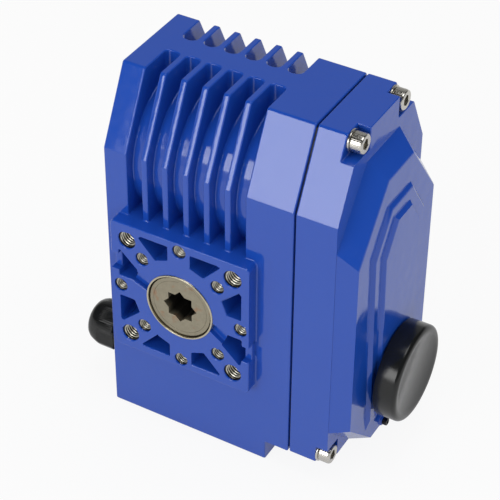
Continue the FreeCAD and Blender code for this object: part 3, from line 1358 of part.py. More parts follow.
def position_sensor():
    """Gear on the output shaft, the sensor's gear and the sensor in the cap."""
    feedback = new_body("feedback_gear")
    disc = sketch(feedback, "XZ", "0 - %s" % FEEDBACK_Y)
    circle(disc, "0", "0", root_radius("feedback_module", "feedback_teeth"))
    pad(feedback, disc, "feedback_wide")
    teeth_on(feedback, "XZ", "Y_Axis", "0 - %s" % FEEDBACK_Y, "feedback_wide", "feedback_module",
             "feedback_teeth", 0.0)
    bore = sketch(feedback, "XZ", "0 - %s" % FEEDBACK_Y)
    circle(bore, "0", "0", "journal_r + fit_gap")
    pocket(feedback, bore, "feedback_wide", toward=1)
    gear = new_body("sensor_gear")
    start = "(%s + face_step)" % FEEDBACK_Y
    disc = sketch(gear, "XZ", "0 - %s" % start)
    circle(disc, "0", "0", root_radius("feedback_module", "sensor_teeth"))
    pad(gear, disc, "feedback_wide - 2 * face_step")
    tooth = mate(0.0, "feedback_teeth", 0.0, "sensor_teeth")
    teeth_on(gear, "XZ", "Y_Axis", "0 - %s" % start, "feedback_wide - 2 * face_step", "feedback_module",
             "sensor_teeth", tooth)
    spindle = sketch(gear, "XZ", "0 - %s" % start)
    circle(spindle, "0", "0", "sensor_spindle_r")
    pad(gear, spindle, "%s + sensor_hole - %s" % (SPIGOT_Y, start))
    place(gear, SENSOR_X)
    front = "(%s - 0.8)" % SPIGOT_Y
    hole_end = "(%s + sensor_hole + side_gap)" % SPIGOT_Y
    turned("position_sensor", "y", [
        (front, "sensor_spindle_r + run_gap"), (front, "sensor_r"),
        ("%s + sensor_long" % front, "sensor_r"), ("%s + sensor_long" % front, "0"),
        (hole_end, "0"), (hole_end, "sensor_spindle_r + run_gap")], x=SENSOR_X)


# Hand knob

def hand_knob():
    """Moulded cup with a hub, held to the worm shaft by a cross pin."""
    top = "(knob_x + knob_high)"
    body = turned("hand_knob", "x", [
        ("knob_x", "knob_r - knob_wall"), ("knob_x", "knob_r"),
        ("%s - knob_round" % top, "knob_r"), ("%s - knob_round / 4" % top, "knob_r - knob_round / 4"),
        (top, "knob_r - knob_round"), (top, "knob_r - knob_rim"),
        ("%s - knob_dish" % top, "knob_r - knob_rim - 2 * knob_dish"),
        ("%s - knob_dish" % top, "0"), (SHAFT_END, "0"), (SHAFT_END, "worm_shaft_r + fit_gap"),
        ("knob_x", "worm_shaft_r + fit_gap"), ("knob_x", "knob_hub_r"),
        ("%s - knob_wall" % top, "knob_hub_r"), ("%s - knob_wall" % top, "knob_r - knob_wall")],
        "0", MID_Y, WORM_Z)
    cross = sketch(body, "XY", "0 - knob_hub_r - 1")
    circle(cross, PIN_X, "0", "pin_r + fit_gap")
    pocket(body, cross, "2 * knob_hub_r + 2", toward=1)
    pin = cylinder("pin_r", "2 * knob_hub_r - 2 * side_gap", PIN_X, MID_Y,
                   "%s - knob_hub_r + side_gap" % WORM_Z)
    finished(pin, "knob_pin")
    inner = "(face_x - cover_face_wall)"
    turned("knob_bush", "x", [
        ("%s - bush_flange" % inner, "worm_shaft_r + run_gap"),
        ("%s - bush_flange" % inner, "knob_bush_r + 2 * bush_flange"),
        (inner, "knob_bush_r + 2 * bush_flange"), (inner, "knob_bush_r"), (CORE_X, "knob_bush_r"),
        (CORE_X, "worm_shaft_r + run_gap")], "0", MID_Y, WORM_Z)
    lock = socket_screw("lock_screw", "lock_screw_grip", (LOCK_X, LOCK_Y, LOCK_Z), "+x")
    finished(lock, "knob_lock_screw")


# Cable gland

def cable_gland():
    """Threaded body, dome nut and rubber seal on the left side."""
    y, z = "gland_y", "gland_z"
    base = "(body_left - gland_washer)"
    finished(ring("gland_flats / 2 - side_gap", "gland_thread_r + fit_gap", "gland_washer",
                  "body_left", y, z, "-x"), "gland_washer")
    thread = cylinder("gland_thread_r", "chamber_left - %s" % base, base, y, z, "+x")
    corner = "gland_flats / 2 + gland_bevel"
    hexagon = common(prism("gland_flats", "gland_base", base, y, z, "-x"),
                     turned_tool([("0", "0"), ("0", corner),
                                  ("gland_bevel - gland_base", corner),
                                  ("0 - gland_base", "gland_flats / 2"),
                                  ("0 - gland_base", "0")], base, y, z))
    inside = "(gland_flats / 2 - gland_wall)"
    collar = cylinder("%s - run_gap" % inside, "gland_collar", "%s - gland_base" % base, y, z, "-x")
    passage = cylinder("gland_entry_r", "chamber_left - %s + gland_base + gland_collar + 2" % base,
                       "chamber_left + 1", y, z, "-x")
    finished(cut(fuse(thread, hexagon, collar), passage), "gland_body")
    nut_x = "(%s - gland_base - side_gap)" % base
    mouth = "(gland_entry_r - fit_gap)"
    flat = "gland_flats / 2"
    dome = turned_tool([
        ("0", inside), ("0", corner), ("2 * gland_round - gland_nut", corner),
        ("gland_round - gland_nut", flat),
        ("gland_round / 4 - gland_nut", "%s - gland_round / 2" % flat),
        ("0 - gland_nut", "%s - 1.1 * gland_round" % flat), ("0 - gland_nut", mouth),
        ("gland_lip - gland_nut", mouth), ("gland_lip + 4 - gland_nut", inside)], nut_x, y, z)
    grip = prism("gland_flats", "gland_nut", nut_x, y, z, "-x")
    finished(common(grip, dome), "gland_dome_nut")
    wide = "%s - side_gap" % inside
    tip = "gland_collar + gland_lip + 0.7 - gland_nut"
    turned("gland_seal", "x", [
        ("0", "gland_bore_r"), ("0", wide), ("0 - gland_washer", wide),
        (tip, "gland_bore_r + 0.5"), (tip, "gland_bore_r")],
        "%s - gland_base - gland_collar" % base, y, z)


def turned_tool(points, x, y, z):
    """A turned solid about X that another piece is cut from."""
    body = doc.addObject("PartDesign::Body", "tool")
    profile = sketch(body, "XY")
    polygon(profile, points)
    revolve(body, profile, "H_Axis")
    return place(body, x, y, z)


# Electrics

def electrics():
    """Control board on four standoffs, with what is soldered to it."""
    x0, y0 = "(chamber_left + board_end_gap)", "(front_y + chamber_wall + board_side_gap)"
    x1 = "(chamber_right - board_end_gap)"
    y1 = "(%s - chamber_wall - board_side_gap)" % BACK_Y
    top = "(board_z + board_thick)"
    spots = [(a, b) for a in ("(%s + board_screw_in)" % x0, "(%s - board_screw_in)" % x1)
             for b in ("(%s + board_screw_in)" % y0, "(%s - board_screw_in)" % y1)]
    board = box(x0, y0, "board_z", x1, y1, top)
    drills = [cylinder("board_screw / 2 + screw_clear", "board_thick + 2", x, y, "board_z - 1")
              for x, y in spots]
    finished(cut(board, *drills), "control_board")
    group("board_standoffs", [ring("board_screw", "board_screw / 2 + fit_gap",
                                   "board_z - chamber_floor", x, y, "chamber_floor")
                              for x, y in spots])
    group("board_screws", [socket_screw("board_screw", "board_thick + board_screw", (x, y, top), "+z")
                           for x, y in spots])
    terminals(x0, y0, y1, top)
    relay_x = "(%s - relay_in - relay_wide)" % x1
    relays = []
    for k in range(2):
        start = "(%s + relay_side + %d * (relay_long + relay_gap))" % (y0, k)
        relays.append(box(relay_x, start, top, "%s + relay_wide" % relay_x,
                          "%s + relay_long" % start, "%s + relay_high" % top))
    group("relays", relays)
    middle = "((%s + block_in + block_wide + %s) / 2)" % (x0, relay_x)
    finished(cylinder("capacitor_r", "capacitor_long", middle, "%s + capacitor_side" % y0,
                      "%s + capacitor_r" % top, "+y"), "motor_capacitor")


def terminals(x0, y0, y1, top):
    """Block with a wire mouth and a clamping screw for each way."""
    left = "(%s + block_in)" % x0
    front, back = "(%s + block_short)" % y0, "(%s - block_short)" % y1
    block = box(left, front, top, "%s + block_wide" % left, back, "%s + block_high" % top)
    screw_x = "(%s + 0.65 * block_wide)" % left
    screw_z = "(%s + 0.65 * block_high)" % top
    mouths = []
    tips = []
    for k in range(int(num("block_ways"))):
        middle = "(%s + (%s - %s) * %g / block_ways)" % (front, back, front, k + 0.5)
        mouths.append(box("%s - 1" % left, "%s - terminal_r" % middle, "%s + terminal_r" % top,
                          "%s + 2 * terminal_r" % left, "%s + terminal_r" % middle,
                          "%s + 3 * terminal_r" % top))
        mouths.append(cylinder("terminal_r + 0.2", "block_high", screw_x, middle, screw_z))
        tips.append(cylinder("terminal_r", "3", screw_x, middle, screw_z))
    finished(cut(block, *mouths), "terminal_block")
    group("terminal_screws", tips)


def check_and_write():
    """Every object has to be sound before anything is written."""
    doc.recompute()
    for item in doc.Objects:
        if "Invalid" in item.State or "Error" in item.State:
            raise ValueError("%s (%s) did not build" % (item.Label, item.Name))
    for item in PARTS:
        if item.Shape.isNull() or not item.Shape.isValid():
            raise ValueError("%s has no sound shape" % item.Label)
    os.makedirs("parts", exist_ok=True)
    for item in PARTS:
        item.Shape.exportStep("parts/%s.step" % item.Label)
        print(item.Label, len(item.Shape.Solids), round(item.Shape.Volume, 1))


def main():
    main_housing()
    cover()
    cover_gasket()
    cover_fasteners()
    output_shaft()
    drive_insert()
    output_fittings()
    worm_wheel()
    worm_shaft()
    worm_bearings()
    gear_plate(*gear_train())
    motor()
    rear_cap()
    position_indicator()
    position_sensor()
    hand_knob()
    cable_gland()
    electrics()
    check_and_write()


main()
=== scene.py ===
import json
import math

import bmesh
import bpy
from mathutils import Matrix, Vector, geometry
from mathutils.bvhtree import BVHTree


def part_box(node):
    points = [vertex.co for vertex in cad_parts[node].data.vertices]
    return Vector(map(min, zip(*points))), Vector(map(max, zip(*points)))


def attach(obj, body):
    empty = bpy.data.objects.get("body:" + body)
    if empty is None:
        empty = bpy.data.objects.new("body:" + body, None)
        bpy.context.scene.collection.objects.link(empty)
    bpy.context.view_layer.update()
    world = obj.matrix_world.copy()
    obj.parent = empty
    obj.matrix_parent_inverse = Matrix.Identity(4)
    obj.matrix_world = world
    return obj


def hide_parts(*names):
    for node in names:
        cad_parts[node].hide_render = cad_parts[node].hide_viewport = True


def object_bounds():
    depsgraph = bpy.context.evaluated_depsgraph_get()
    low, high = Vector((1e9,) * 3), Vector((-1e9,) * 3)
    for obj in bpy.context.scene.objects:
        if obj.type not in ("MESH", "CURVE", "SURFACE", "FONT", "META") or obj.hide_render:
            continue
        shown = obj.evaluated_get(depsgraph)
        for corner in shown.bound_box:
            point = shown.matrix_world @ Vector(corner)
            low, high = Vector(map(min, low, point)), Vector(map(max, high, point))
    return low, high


# Looks of the quarter-turn electric actuator, in metres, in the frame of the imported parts.
# X runs towards the cover and the hand knob, Y into the body from the mounting pad, Z up.

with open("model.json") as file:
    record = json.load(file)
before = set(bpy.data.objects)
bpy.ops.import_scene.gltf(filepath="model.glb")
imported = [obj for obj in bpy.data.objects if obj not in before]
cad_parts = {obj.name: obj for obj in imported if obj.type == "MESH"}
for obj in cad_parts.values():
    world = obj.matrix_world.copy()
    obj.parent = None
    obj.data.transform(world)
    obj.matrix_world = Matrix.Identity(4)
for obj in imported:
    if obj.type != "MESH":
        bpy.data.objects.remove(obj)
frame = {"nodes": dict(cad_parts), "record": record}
NODES = frame["nodes"]
SLOTS = {row["node"]: row["material_slot"] for row in frame["record"]["subparts"]}
CAD_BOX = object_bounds()

# Camera, as the photograph has it
CAMERA_AT = Vector((0.30506, -0.47718, 0.48077))
CAMERA_AHEAD = Vector((-0.38766, 0.67935, -0.62305))
CAMERA_DOWN = Vector((0.31659, -0.53667, -0.78215))
LENS = 131.34
SENSOR = 36.0
CLIP = (0.05, 20.0)

# Points nearer than this are one point, in a CAD mesh and in a mesh made here
WELD = 1e-6
FINE_WELD = 1e-7

# Rounded outer edges: the width on each node, the steps, and the angles in degrees from which an
# edge is sharp and below which it is none
EDGE_WIDTHS = {
    "main_housing": 0.0006,
    "cover": 0.0005,
    "rear_cap": 0.0004,
    "gland_body": 0.0003,
    "drive_insert": 0.00014,
    "output_shaft": 0.00016,
}
BEVEL_STEPS = 3
SHARP_ANGLE = 28.0
FLAT_ANGLE = 0.4
NORMAL_WEIGHT = 90

# Rounds of the search for edges that can be rounded. A face is torn if its folds add this area,
# and edges within some widths of a fold stay sharp. From a later round on, a small torn face
# keeps all its corners sharp.
BEVEL_ROUNDS = 7
CORNERS_FROM = 3
SMALL_FACE = 12
FOLDED_AREA = 5e-8
TORN_REACH = 1.5

# An edge is an outer one if a ray from just above it gets away from the object
RAY_START = 0.0004
WAY_SLANT = 0.2
WAYS_OUT = [Vector((x, y, z)).normalized() for x in (-1, 0, 1) for y in (-1, 0, 1)
            for z in (-1, 0, 1) if (x, y, z) != (0, 0, 0)]

# Rounded inner corners of the housing's cooling slots and of the pad's pockets: what tells these
# edges from the rest, and the radius of each kind. Their angle is in radians.
CORNER_STEPS = 5
CORNER_ANGLE = 0.5
UPRIGHT = 1e-5
SLOT_TOP = 0.090
SLOT_MIDDLE = 0.043
SLOT_REACH = 0.030
SLOT_DEEP = 0.008
SLOT_CORNER = 0.0020
REAR_SLOT_CORNER = 0.0030
PAD_NEAR = 0.0001
POCKET_REACH = 0.0295
POCKET_DEEP = 0.010
POCKET_CORNER = 0.0006

# Sills in the pad's two edge notches
PAD_HALF = 0.0325
SILL_WIDE = 0.0034
SILL_LONG = 0.0088
SILL_Z = 0.012
SILL_Y = 0.0028
SILL_FOOT = 0.0061
SILL_EDGE = 0.0006

# Tapped holes of the pad: circle radius, first angle, nominal radius, pitch, depth
PAD_THREADS = [
    (0.0350, 45.0, 0.0040, 0.00125, 0.0138),
    (0.0250, 45.0, 0.0030, 0.00100, 0.0118),
    (0.0285, 0.0, 0.0030, 0.00100, 0.0118),
]
# Where a thread starts below the pad's face, its play in the hole, and its depth in pitches
THREAD_START = 0.0007
THREAD_PLAY = 0.00002
THREAD_DEEP = 0.58
THREAD_STEPS = 32
# One pitch of a thread, from nought in the root to one on the crest
THREAD_WAVE = [0.0, 0.0, 0.5, 1.0, 1.0, 0.5]
# The shares of its depth between which a thread turns from bright steel on the crests to painted shade in
# the roots
THREAD_SHADE = (0.15, 0.55)

# Socket head cap screws: head, flats and socket as shares of the thread's diameter, taper as a
# share of its radius, the head's edge as a share of the head's radius. The crown is pairs of
# shares of the head's radius and height. HEX shares are of the flats.
SCREW_HEAD = 0.85
SCREW_FLATS = 0.8
SCREW_SOCKET = 0.5
SCREW_TAPER = 0.3
HEAD_EDGE = 0.09
HEAD_CROWN = [(0.985, 0.86), (0.96, 0.95), (0.90, 1.0)]
HEX_MOUTH = 1.10
HEX_LEAD_IN = 0.06
HEX_DRILL = 0.12
KNURLS = 40
KNURL_POINTS = 4
HEAD_STEPS = KNURLS * KNURL_POINTS
KNURL_DEEP = 0.00007
KNURL_TOP = 0.80
# Washers: the hole as a share of the outer radius, the edge as a share of the thickness
WASHER_HOLE = 0.57
WASHER_EDGE = 0.3

# The drive's mouth: the shaft, its seal's metal case, which stands a little proud, and the lip.
# The case's rims are pairs of an inset and a share of the proud height.
MOUTH_R = 0.0157
MOUTH_NEAR = 0.0002
SHAFT_R = 0.01434
SEAL_CASE_WALL = 0.0008
SEAL_PROUD = 0.0005
SEAL_RIM = [(0.0, 0.5), (0.0001, 0.8), (0.0003, 1.0)]
SEAL_INNER_RIM = [(0.00025, 1.0), (0.00006, 0.8), (0.0, 0.5)]
LIP_PLAY = 0.00008
LIP_EDGE = 0.0001
LIP_TIP_Y = 0.0015
LIP_BACK_Y = 0.0017
LIP_SLOPE = 0.0002
LIP_SLOPE_Y = 0.0019
LIP_FOOT_Y = 0.0022

# Hand knob: its wall, hub and bore, and what is cut from its outline at the foot and at the top
KNOB_WALL = 0.0026
KNOB_HUB_R = 0.0090
KNOB_BORE_R = 0.00502
KNOB_BORE_END = 0.0030
KNOB_HUB_IN = 0.0001
KNOB_FOOT = 0.0005
KNOB_RIM = 0.0019
KNOB_LIP = 0.0034
KNOB_DISH = 0.0046
KNOB_DISH_DEEP = 0.0005

# Dome nut of the cable gland. The dome and the mouth are pairs of an outset, from the flats or
# from the mouth's radius, and a drop from the top.
NUT_RIBS = 13
NUT_RIB_POINTS = 6
NUT_STEPS = 6 * NUT_RIBS * NUT_RIB_POINTS
NUT_RIB_DEEP = 0.00022
NUT_CORNER = 0.0009
NUT_CHAMFER = 0.0008
NUT_CHAMFER_HIGH = 0.0006
NUT_FLATS_END = 0.0069
NUT_SHOULDER = 0.0006
NUT_SHOULDER_DROP = 0.0055
NUT_DOME = [(-0.0001, 0.0034), (-0.0007, 0.0020), (-0.0016, 0.0009), (-0.0026, 0.00025), (-0.0038, 0.0)]
NUT_MOUTH_R = 0.0051
NUT_MOUTH = [(0.0003, 0.0), (0.0, 0.0004), (0.0, 0.0014)]
NUT_WALL = 0.0031
NUT_CONE_END = 0.0054

# Steps of round forms
ROUND_STEPS = 128
LIP_STEPS = 96
WASHER_STEPS = 48

# Most of a noise lies between these values
NOISE_SPAN = (0.3, 0.7)

# Drive steel: rust where a noise is high, faint rings, and painted shade in the socket, darker with its
# depth
RUST_EDGE = (0.58, 0.70)
RUST_SHARE = 0.5
RING_PITCH = 0.0009
RING_DEEP = 0.00002
SOCKET_R = 0.0078
SOCKET_SHADE_FROM = 0.0008
SOCKET_SHADE_FULL = 0.0040

# Indicator disc: half the width of its black bar, and the plain hub that breaks the bar
DIAL_BAR_HALF = 0.0022
DIAL_HUB_R = 0.0075

# Circuit board: its tracks, and the values between which a track begins
TRACK_PITCH = 0.0021
TRACK_EDGE = (0.38, 0.42)
TRACK_HIGH = 0.00003

# Floor: its own paleness, and how much of its white is only shown, to the camera and to mirrors
FLOOR_PALE = 0.82
FLOOR_ROUGH = 0.9
FLOOR_WHITE_SHARE = 0.90
FLOOR_MIRRORED_SHARE = 0.45
FLOOR_HALF = 3.0
FLOOR_GAP = 0.0003

# The world's soft light, from left to right
WORLD_LEFT = 0.40
WORLD_RIGHT = 0.86
# What mirrors see of the world: pale up to the horizon, dark above it, and a dim pale wall
# behind on the left. The edges are where one level turns into the next.
HORIZON = (0.04, 0.26)
STUDIO_LOW = 0.80
STUDIO_DARK = 0.04
STUDIO_WALL = (-0.381, 0.747, 0.545)
STUDIO_WALL_EDGE = (0.80, 0.97)
STUDIO_WALL_LIGHT = 0.36

LAMPS = {
    "key": {"at": (-0.255, -1.083, 0.450), "toward": (0.04, 0.01, 0.05), "size": (0.57, 0.50), "power": 4.7},
    "top": {"at": (0.1, -0.1, 1.3), "toward": (0.0, 0.04, 0.0), "size": (0.5, 0.5), "power": 2.6},
}


# Materials

class Graph:
    """A node tree, with short ways to add and join its nodes."""

    def __init__(self, tree):
        self.nodes = tree.nodes
        self.links = tree.links

    def add(self, kind, **settings):
        node = self.nodes.new(kind)
        for name, value in settings.items():
            setattr(node, name, value)
        return node

    def math(self, operation, a, b=None):
        """A math node of one or two values, each a number or another node's output."""
        node = self.add("ShaderNodeMath", operation=operation)
        for socket, value in zip(node.inputs, (a, b)):
            if value is None:
                continue
            if isinstance(value, (int, float)):
                socket.default_value = value
            else:
                self.links.new(value, socket)
        return node.outputs[0]

    def between(self, value, low, high, out_low=0.0, out_high=1.0, kind="LINEAR"):
        """A value brought from one range to another."""
        node = self.add("ShaderNodeMapRange", interpolation_type=kind)
        for name, number in zip(("From Min", "From Max", "To Min", "To Max"),
                                (low, high, out_low, out_high)):
            node.inputs[name].default_value = number
        self.links.new(value, node.inputs["Value"])
        return node.outputs["Result"]

    def mix(self, share, first, second, output):
        """Gives an output node two shaders, mixed by a share."""
        node = self.add("ShaderNodeMixShader")
        self.links.new(share, node.inputs["Fac"])
        self.links.new(first.outputs[0], node.inputs[1])
        self.links.new(second.outputs[0], node.inputs[2])
        self.links.new(node.outputs[0], output.inputs["Surface"])


class Paint(Graph):
    """A material's nodes, with its shader at hand."""

    def __init__(self, name, colour, metal=0.0, rough=0.4, ior=1.5):
        self.made = bpy.data.materials.new(name)
        self.made.use_nodes = True
        super().__init__(self.made.node_tree)
        self.shader = self.nodes["Principled BSDF"]
        self.shader.inputs["Base Color"].default_value = (*colour, 1.0)
        self.set(Metallic=metal, Roughness=rough, IOR=ior)
        self.place = self.add("ShaderNodeTexCoord").outputs["Object"]
        self.height = None

    def set(self, **inputs):
        for name, value in inputs.items():
            self.shader.inputs[name.replace("_", " ")].default_value = value

    def noise(self, size, detail=3.0):
        """Noise whose features are about this size in metres."""
        node = self.add("ShaderNodeTexNoise")
        node.inputs["Scale"].default_value = 1.0 / size
        node.inputs["Detail"].default_value = detail
        self.links.new(self.place, node.inputs["Vector"])
        return node.outputs["Fac"]

    def colour(self, fac, first, second):
        """Base colour from one colour to another."""
        node = self.add("ShaderNodeMix", data_type="RGBA")
        self.links.new(fac, node.inputs["Factor"])
        self.blend_in(node.inputs["A"], first)
        self.blend_in(node.inputs["B"], second)
        out = node.outputs["Result"]
        self.links.new(out, self.shader.inputs["Base Color"])
        return out

    def blend_in(self, socket, value):
        if isinstance(value, tuple):
            socket.default_value = (*value, 1.0)
        else:
            self.links.new(value, socket)

    def rough(self, fac, low, high):
        self.links.new(self.between(fac, *NOISE_SPAN, low, high), self.shader.inputs["Roughness"])

    def bump(self, height, depth):
        """Adds relief to what bump has already made."""
        node = self.add("ShaderNodeBump")
        node.inputs["Strength"].default_value = 1.0
        node.inputs["Distance"].default_value = depth
        self.links.new(height, node.inputs["Height"])
        if self.height is not None:
            self.links.new(self.height, node.inputs["Normal"])
        self.height = node.outputs["Normal"]
        self.links.new(self.height, self.shader.inputs["Normal"])

    def axis(self, letter):
        node = self.add("ShaderNodeSeparateXYZ")
        self.links.new(self.place, node.inputs[0])
        return node.outputs[letter]

    def radius(self, first, second):
        """Distance from an axis through the origin, given by the two other coordinates."""
        squares = [self.math("POWER", self.axis(letter), 2.0) for letter in (first, second)]
        return self.math("SQRT", self.math("ADD", *squares))

    def waves(self, distance, pitch):
        """A wave that repeats with a distance, from 0 to 1."""
        turn = self.math("SINE", self.math("MULTIPLY", distance, 2 * math.pi / pitch))
        return self.math("ADD", self.math("MULTIPLY", turn, 0.5), 0.5)


def enamel():
    """Gloss paint over a casting: a faint orange peel and slow waves below it."""
    made = Paint("enamel", (0.0116, 0.071, 0.435), rough=0.10, ior=1.58)
    made.colour(made.noise(0.03), (0.011, 0.067, 0.425), (0.0122, 0.075, 0.445))
    made.rough(made.noise(0.006), 0.07, 0.13)
    made.bump(made.noise(0.008, 1.0), 0.00013)
    made.bump(made.noise(0.0011, 1.0), 0.000006)
    return made.made


def metal(name, colour, rough, grain=0.0008):
    """Bare metal, a little darker and lighter in places."""
    made = Paint(name, colour, metal=1.0, rough=rough)
    dark = tuple(c * 0.9 for c in colour)
    light = tuple(min(1.0, c * 1.1) for c in colour)
    made.colour(made.noise(0.004, 5.0), dark, light)
    made.rough(made.noise(grain, 4.0), rough * 0.8, rough * 1.25)
    made.bump(made.noise(grain * 0.5, 2.0), 0.000002)
    return made


def drive_steel():
    """Face-turned steel with faint rings, oil stains, a little rust and painted shade in the socket."""
    made = metal("drive_steel", (0.40, 0.36, 0.26), 0.45)
    stains = made.colour(made.noise(0.003, 6.0), (0.27, 0.245, 0.18), (0.38, 0.34, 0.25))
    rust = made.between(made.noise(0.0045, 6.0), *RUST_EDGE)
    aged = made.colour(made.math("MULTIPLY", rust, RUST_SHARE), stains, (0.36, 0.15, 0.06))
    # Painted shade: inside the star socket the colour turns near black with depth, as shade falls in the
    # recess.
    within = made.math("LESS_THAN", made.radius("X", "Z"), SOCKET_R)
    deep = made.between(made.axis("Y"), SOCKET_SHADE_FROM, SOCKET_SHADE_FULL)
    made.colour(made.math("MULTIPLY", within, deep), aged, (0.050, 0.045, 0.038))
    made.set(Metallic=0.8)
    made.bump(made.waves(made.radius("X", "Z"), RING_PITCH), RING_DEEP)
    return made.made


def thread_steel():
    """Bare cut threads: bright steel on the crests, and painted shade, near black, in the roots."""
    made = metal("thread_steel", (0.74, 0.71, 0.60), 0.34)
    groove = made.add("ShaderNodeAttribute", attribute_name="groove").outputs["Fac"]
    # Painted shade: the roots are coloured near black, as shade falls between the crests.
    made.colour(made.between(groove, *THREAD_SHADE), (0.86, 0.83, 0.72), (0.012, 0.011, 0.009))
    return made.made


def moulding(name, colour, rough, ior=1.5):
    """Moulded plastic or rubber with a fine grain."""
    made = Paint(name, colour, rough=rough, ior=ior)
    light = tuple(min(1.0, c * 1.25 + 0.002) for c in colour)
    made.colour(made.noise(0.012), colour, light)
    made.rough(made.noise(0.004, 4.0), rough * 0.85, rough * 1.15)
    made.bump(made.noise(0.0006, 2.0), 0.00001)
    return made.made


def clear_window():
    made = Paint("clear_window", (0.93, 0.96, 0.97), rough=0.06, ior=1.49)
    made.rough(made.noise(0.01), 0.04, 0.09)
    made.bump(made.noise(0.02, 1.0), 0.00002)
    made.set(Transmission_Weight=0.92)
    return made.made


def dial():
    """Yellow disc with a black pointer bar across it and a hub of its own colour."""
    yellow = (0.80, 0.52, 0.02)
    black = (0.02, 0.02, 0.02)
    made = Paint("dial", yellow, rough=0.4)
    bar = made.math("LESS_THAN", made.math("ABSOLUTE", made.axis("X")), DIAL_BAR_HALF)
    past_hub = made.math("GREATER_THAN", made.radius("X", "Z"), DIAL_HUB_R)
    made.colour(made.math("MULTIPLY", bar, past_hub), yellow, black)
    made.bump(made.noise(0.0008, 2.0), 0.000008)
    return made.made


def banded(name, colour, pitch, rough, metallic):
    """Stacked sheets or wound wire: fine bands, one after another along X."""
    made = Paint(name, colour, metal=metallic, rough=rough)
    bands = made.waves(made.axis("X"), pitch)
    made.colour(bands, tuple(c * 0.55 for c in colour), colour)
    made.rough(made.noise(0.003), rough * 0.8, rough * 1.2)
    made.bump(bands, pitch * 0.15)
    return made.made


def board_green():
    """Circuit board with raised tracks under a thin lacquer."""
    made = Paint("board_green", (0.01, 0.13, 0.05), rough=0.35)
    lines = made.waves(made.axis("X"), TRACK_PITCH)
    tracks = made.between(made.math("MULTIPLY", lines, made.noise(0.008, 0.0)), *TRACK_EDGE)
    made.colour(tracks, (0.008, 0.10, 0.04), (0.02, 0.20, 0.07))
    made.bump(tracks, TRACK_HIGH)
    made.set(Coat_Weight=0.3, Coat_Roughness=0.1)
    return made.made


MATERIALS = {
    "enamel": enamel(),
    "bright_steel": metal("bright_steel", (0.60, 0.58, 0.53), 0.24).made,
    "machined_steel": metal("machined_steel", (0.56, 0.55, 0.53), 0.30).made,
    "drive_steel": drive_steel(),
    "gear_steel": metal("gear_steel", (0.50, 0.50, 0.50), 0.28).made,
    "bronze": metal("bronze", (0.68, 0.45, 0.20), 0.34).made,
    "black_moulding": moulding("black_moulding", (0.007, 0.0075, 0.0075), 0.21, ior=1.45),
    "white_moulding": moulding("white_moulding", (0.78, 0.77, 0.72), 0.42),
    "clear_window": clear_window(),
    "dial": dial(),
    "black_rubber": moulding("black_rubber", (0.010, 0.010, 0.010), 0.62),
    "zinc_plate": metal("zinc_plate", (0.62, 0.61, 0.56), 0.36, grain=0.003).made,
    "motor_iron": banded("motor_iron", (0.22, 0.22, 0.23), pitch=0.001, rough=0.4, metallic=0.9),
    "copper": banded("copper", (0.55, 0.22, 0.08), pitch=0.0007, rough=0.3, metallic=0.8),
    "board_green": board_green(),
    "terminal_grey": moulding("terminal_grey", (0.20, 0.33, 0.24), 0.45),
    "relay_case": moulding("relay_case", (0.03, 0.10, 0.35), 0.25),
    "capacitor_case": moulding("capacitor_case", (0.70, 0.70, 0.68), 0.3),
    "thread_steel": thread_steel(),
    "seal_steel": metal("seal_steel", (0.58, 0.53, 0.40), 0.30).made,
    "black_steel": metal("black_steel", (0.05, 0.05, 0.05), 0.34).made,
}
FINISHES = {"output_shaft": "drive_steel"}


# CAD nodes that stay, with their finish and rounded edges

def dress(name):
    piece = NODES[name]
    piece.data.materials.clear()
    piece.data.materials.append(MATERIALS[FINISHES.get(name, SLOTS[name])])


def soften(name):
    """Rounds a node's edges with modifiers, so that its own mesh stays as it is."""
    piece = NODES[name]
    weld = piece.modifiers.new("weld", "WELD")
    weld.merge_threshold = WELD
    flat = piece.modifiers.new("flat_faces", "DECIMATE")
    flat.decimate_type = "DISSOLVE"
    flat.angle_limit = math.radians(FLAT_ANGLE)
    bevel = piece.modifiers.new("edges", "BEVEL")
    bevel.width = EDGE_WIDTHS[name]
    bevel.segments = BEVEL_STEPS
    bevel.limit_method = "ANGLE"
    bevel.angle_limit = math.radians(SHARP_ANGLE)
    bevel.use_clamp_overlap = False
    bevel.miter_outer = "MITER_ARC"
    bevel.harden_normals = False
    smooth_normals(piece)


def smooth_normals(piece):
    normals = piece.modifiers.new("normals", "WEIGHTED_NORMAL")
    normals.keep_sharp = False
    normals.weight = NORMAL_WEIGHT


# Pieces that replace plain nodes

def add_piece(name, mesh, slot, body, replaced=(), angle=35.0):
    """Puts a finished mesh in the scene on its body, in place of the nodes that it stands for."""
    made = bpy.data.objects.new(name, mesh)
    bpy.context.scene.collection.objects.link(made)
    mesh.materials.append(MATERIALS[slot])
    mesh.shade_smooth()
    edges = made.modifiers.new("edges", "EDGE_SPLIT")
    edges.split_angle = math.radians(angle)
    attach(made, body)
    if replaced:
        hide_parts(*replaced)
    return made


# Castings with rounded edges

def whole_tree():
    """All nodes as one tree of faces, for rays."""
    grid = bmesh.new()
    for piece in NODES.values():
        grid.from_mesh(piece.data)
    tree = BVHTree.FromBMesh(grid)
    grid.free()
    return tree


def outside(edge, tree):
    """Whether an edge can be seen from outside the whole object."""
    out = edge.link_faces[0].normal + edge.link_faces[1].normal
    if out.length < WELD:
        return False
    out.normalize()
    start = (edge.verts[0].co + edge.verts[1].co) / 2 + out * RAY_START
    return any(way.dot(out) > WAY_SLANT and tree.ray_cast(start, way)[0] is None for way in WAYS_OUT)


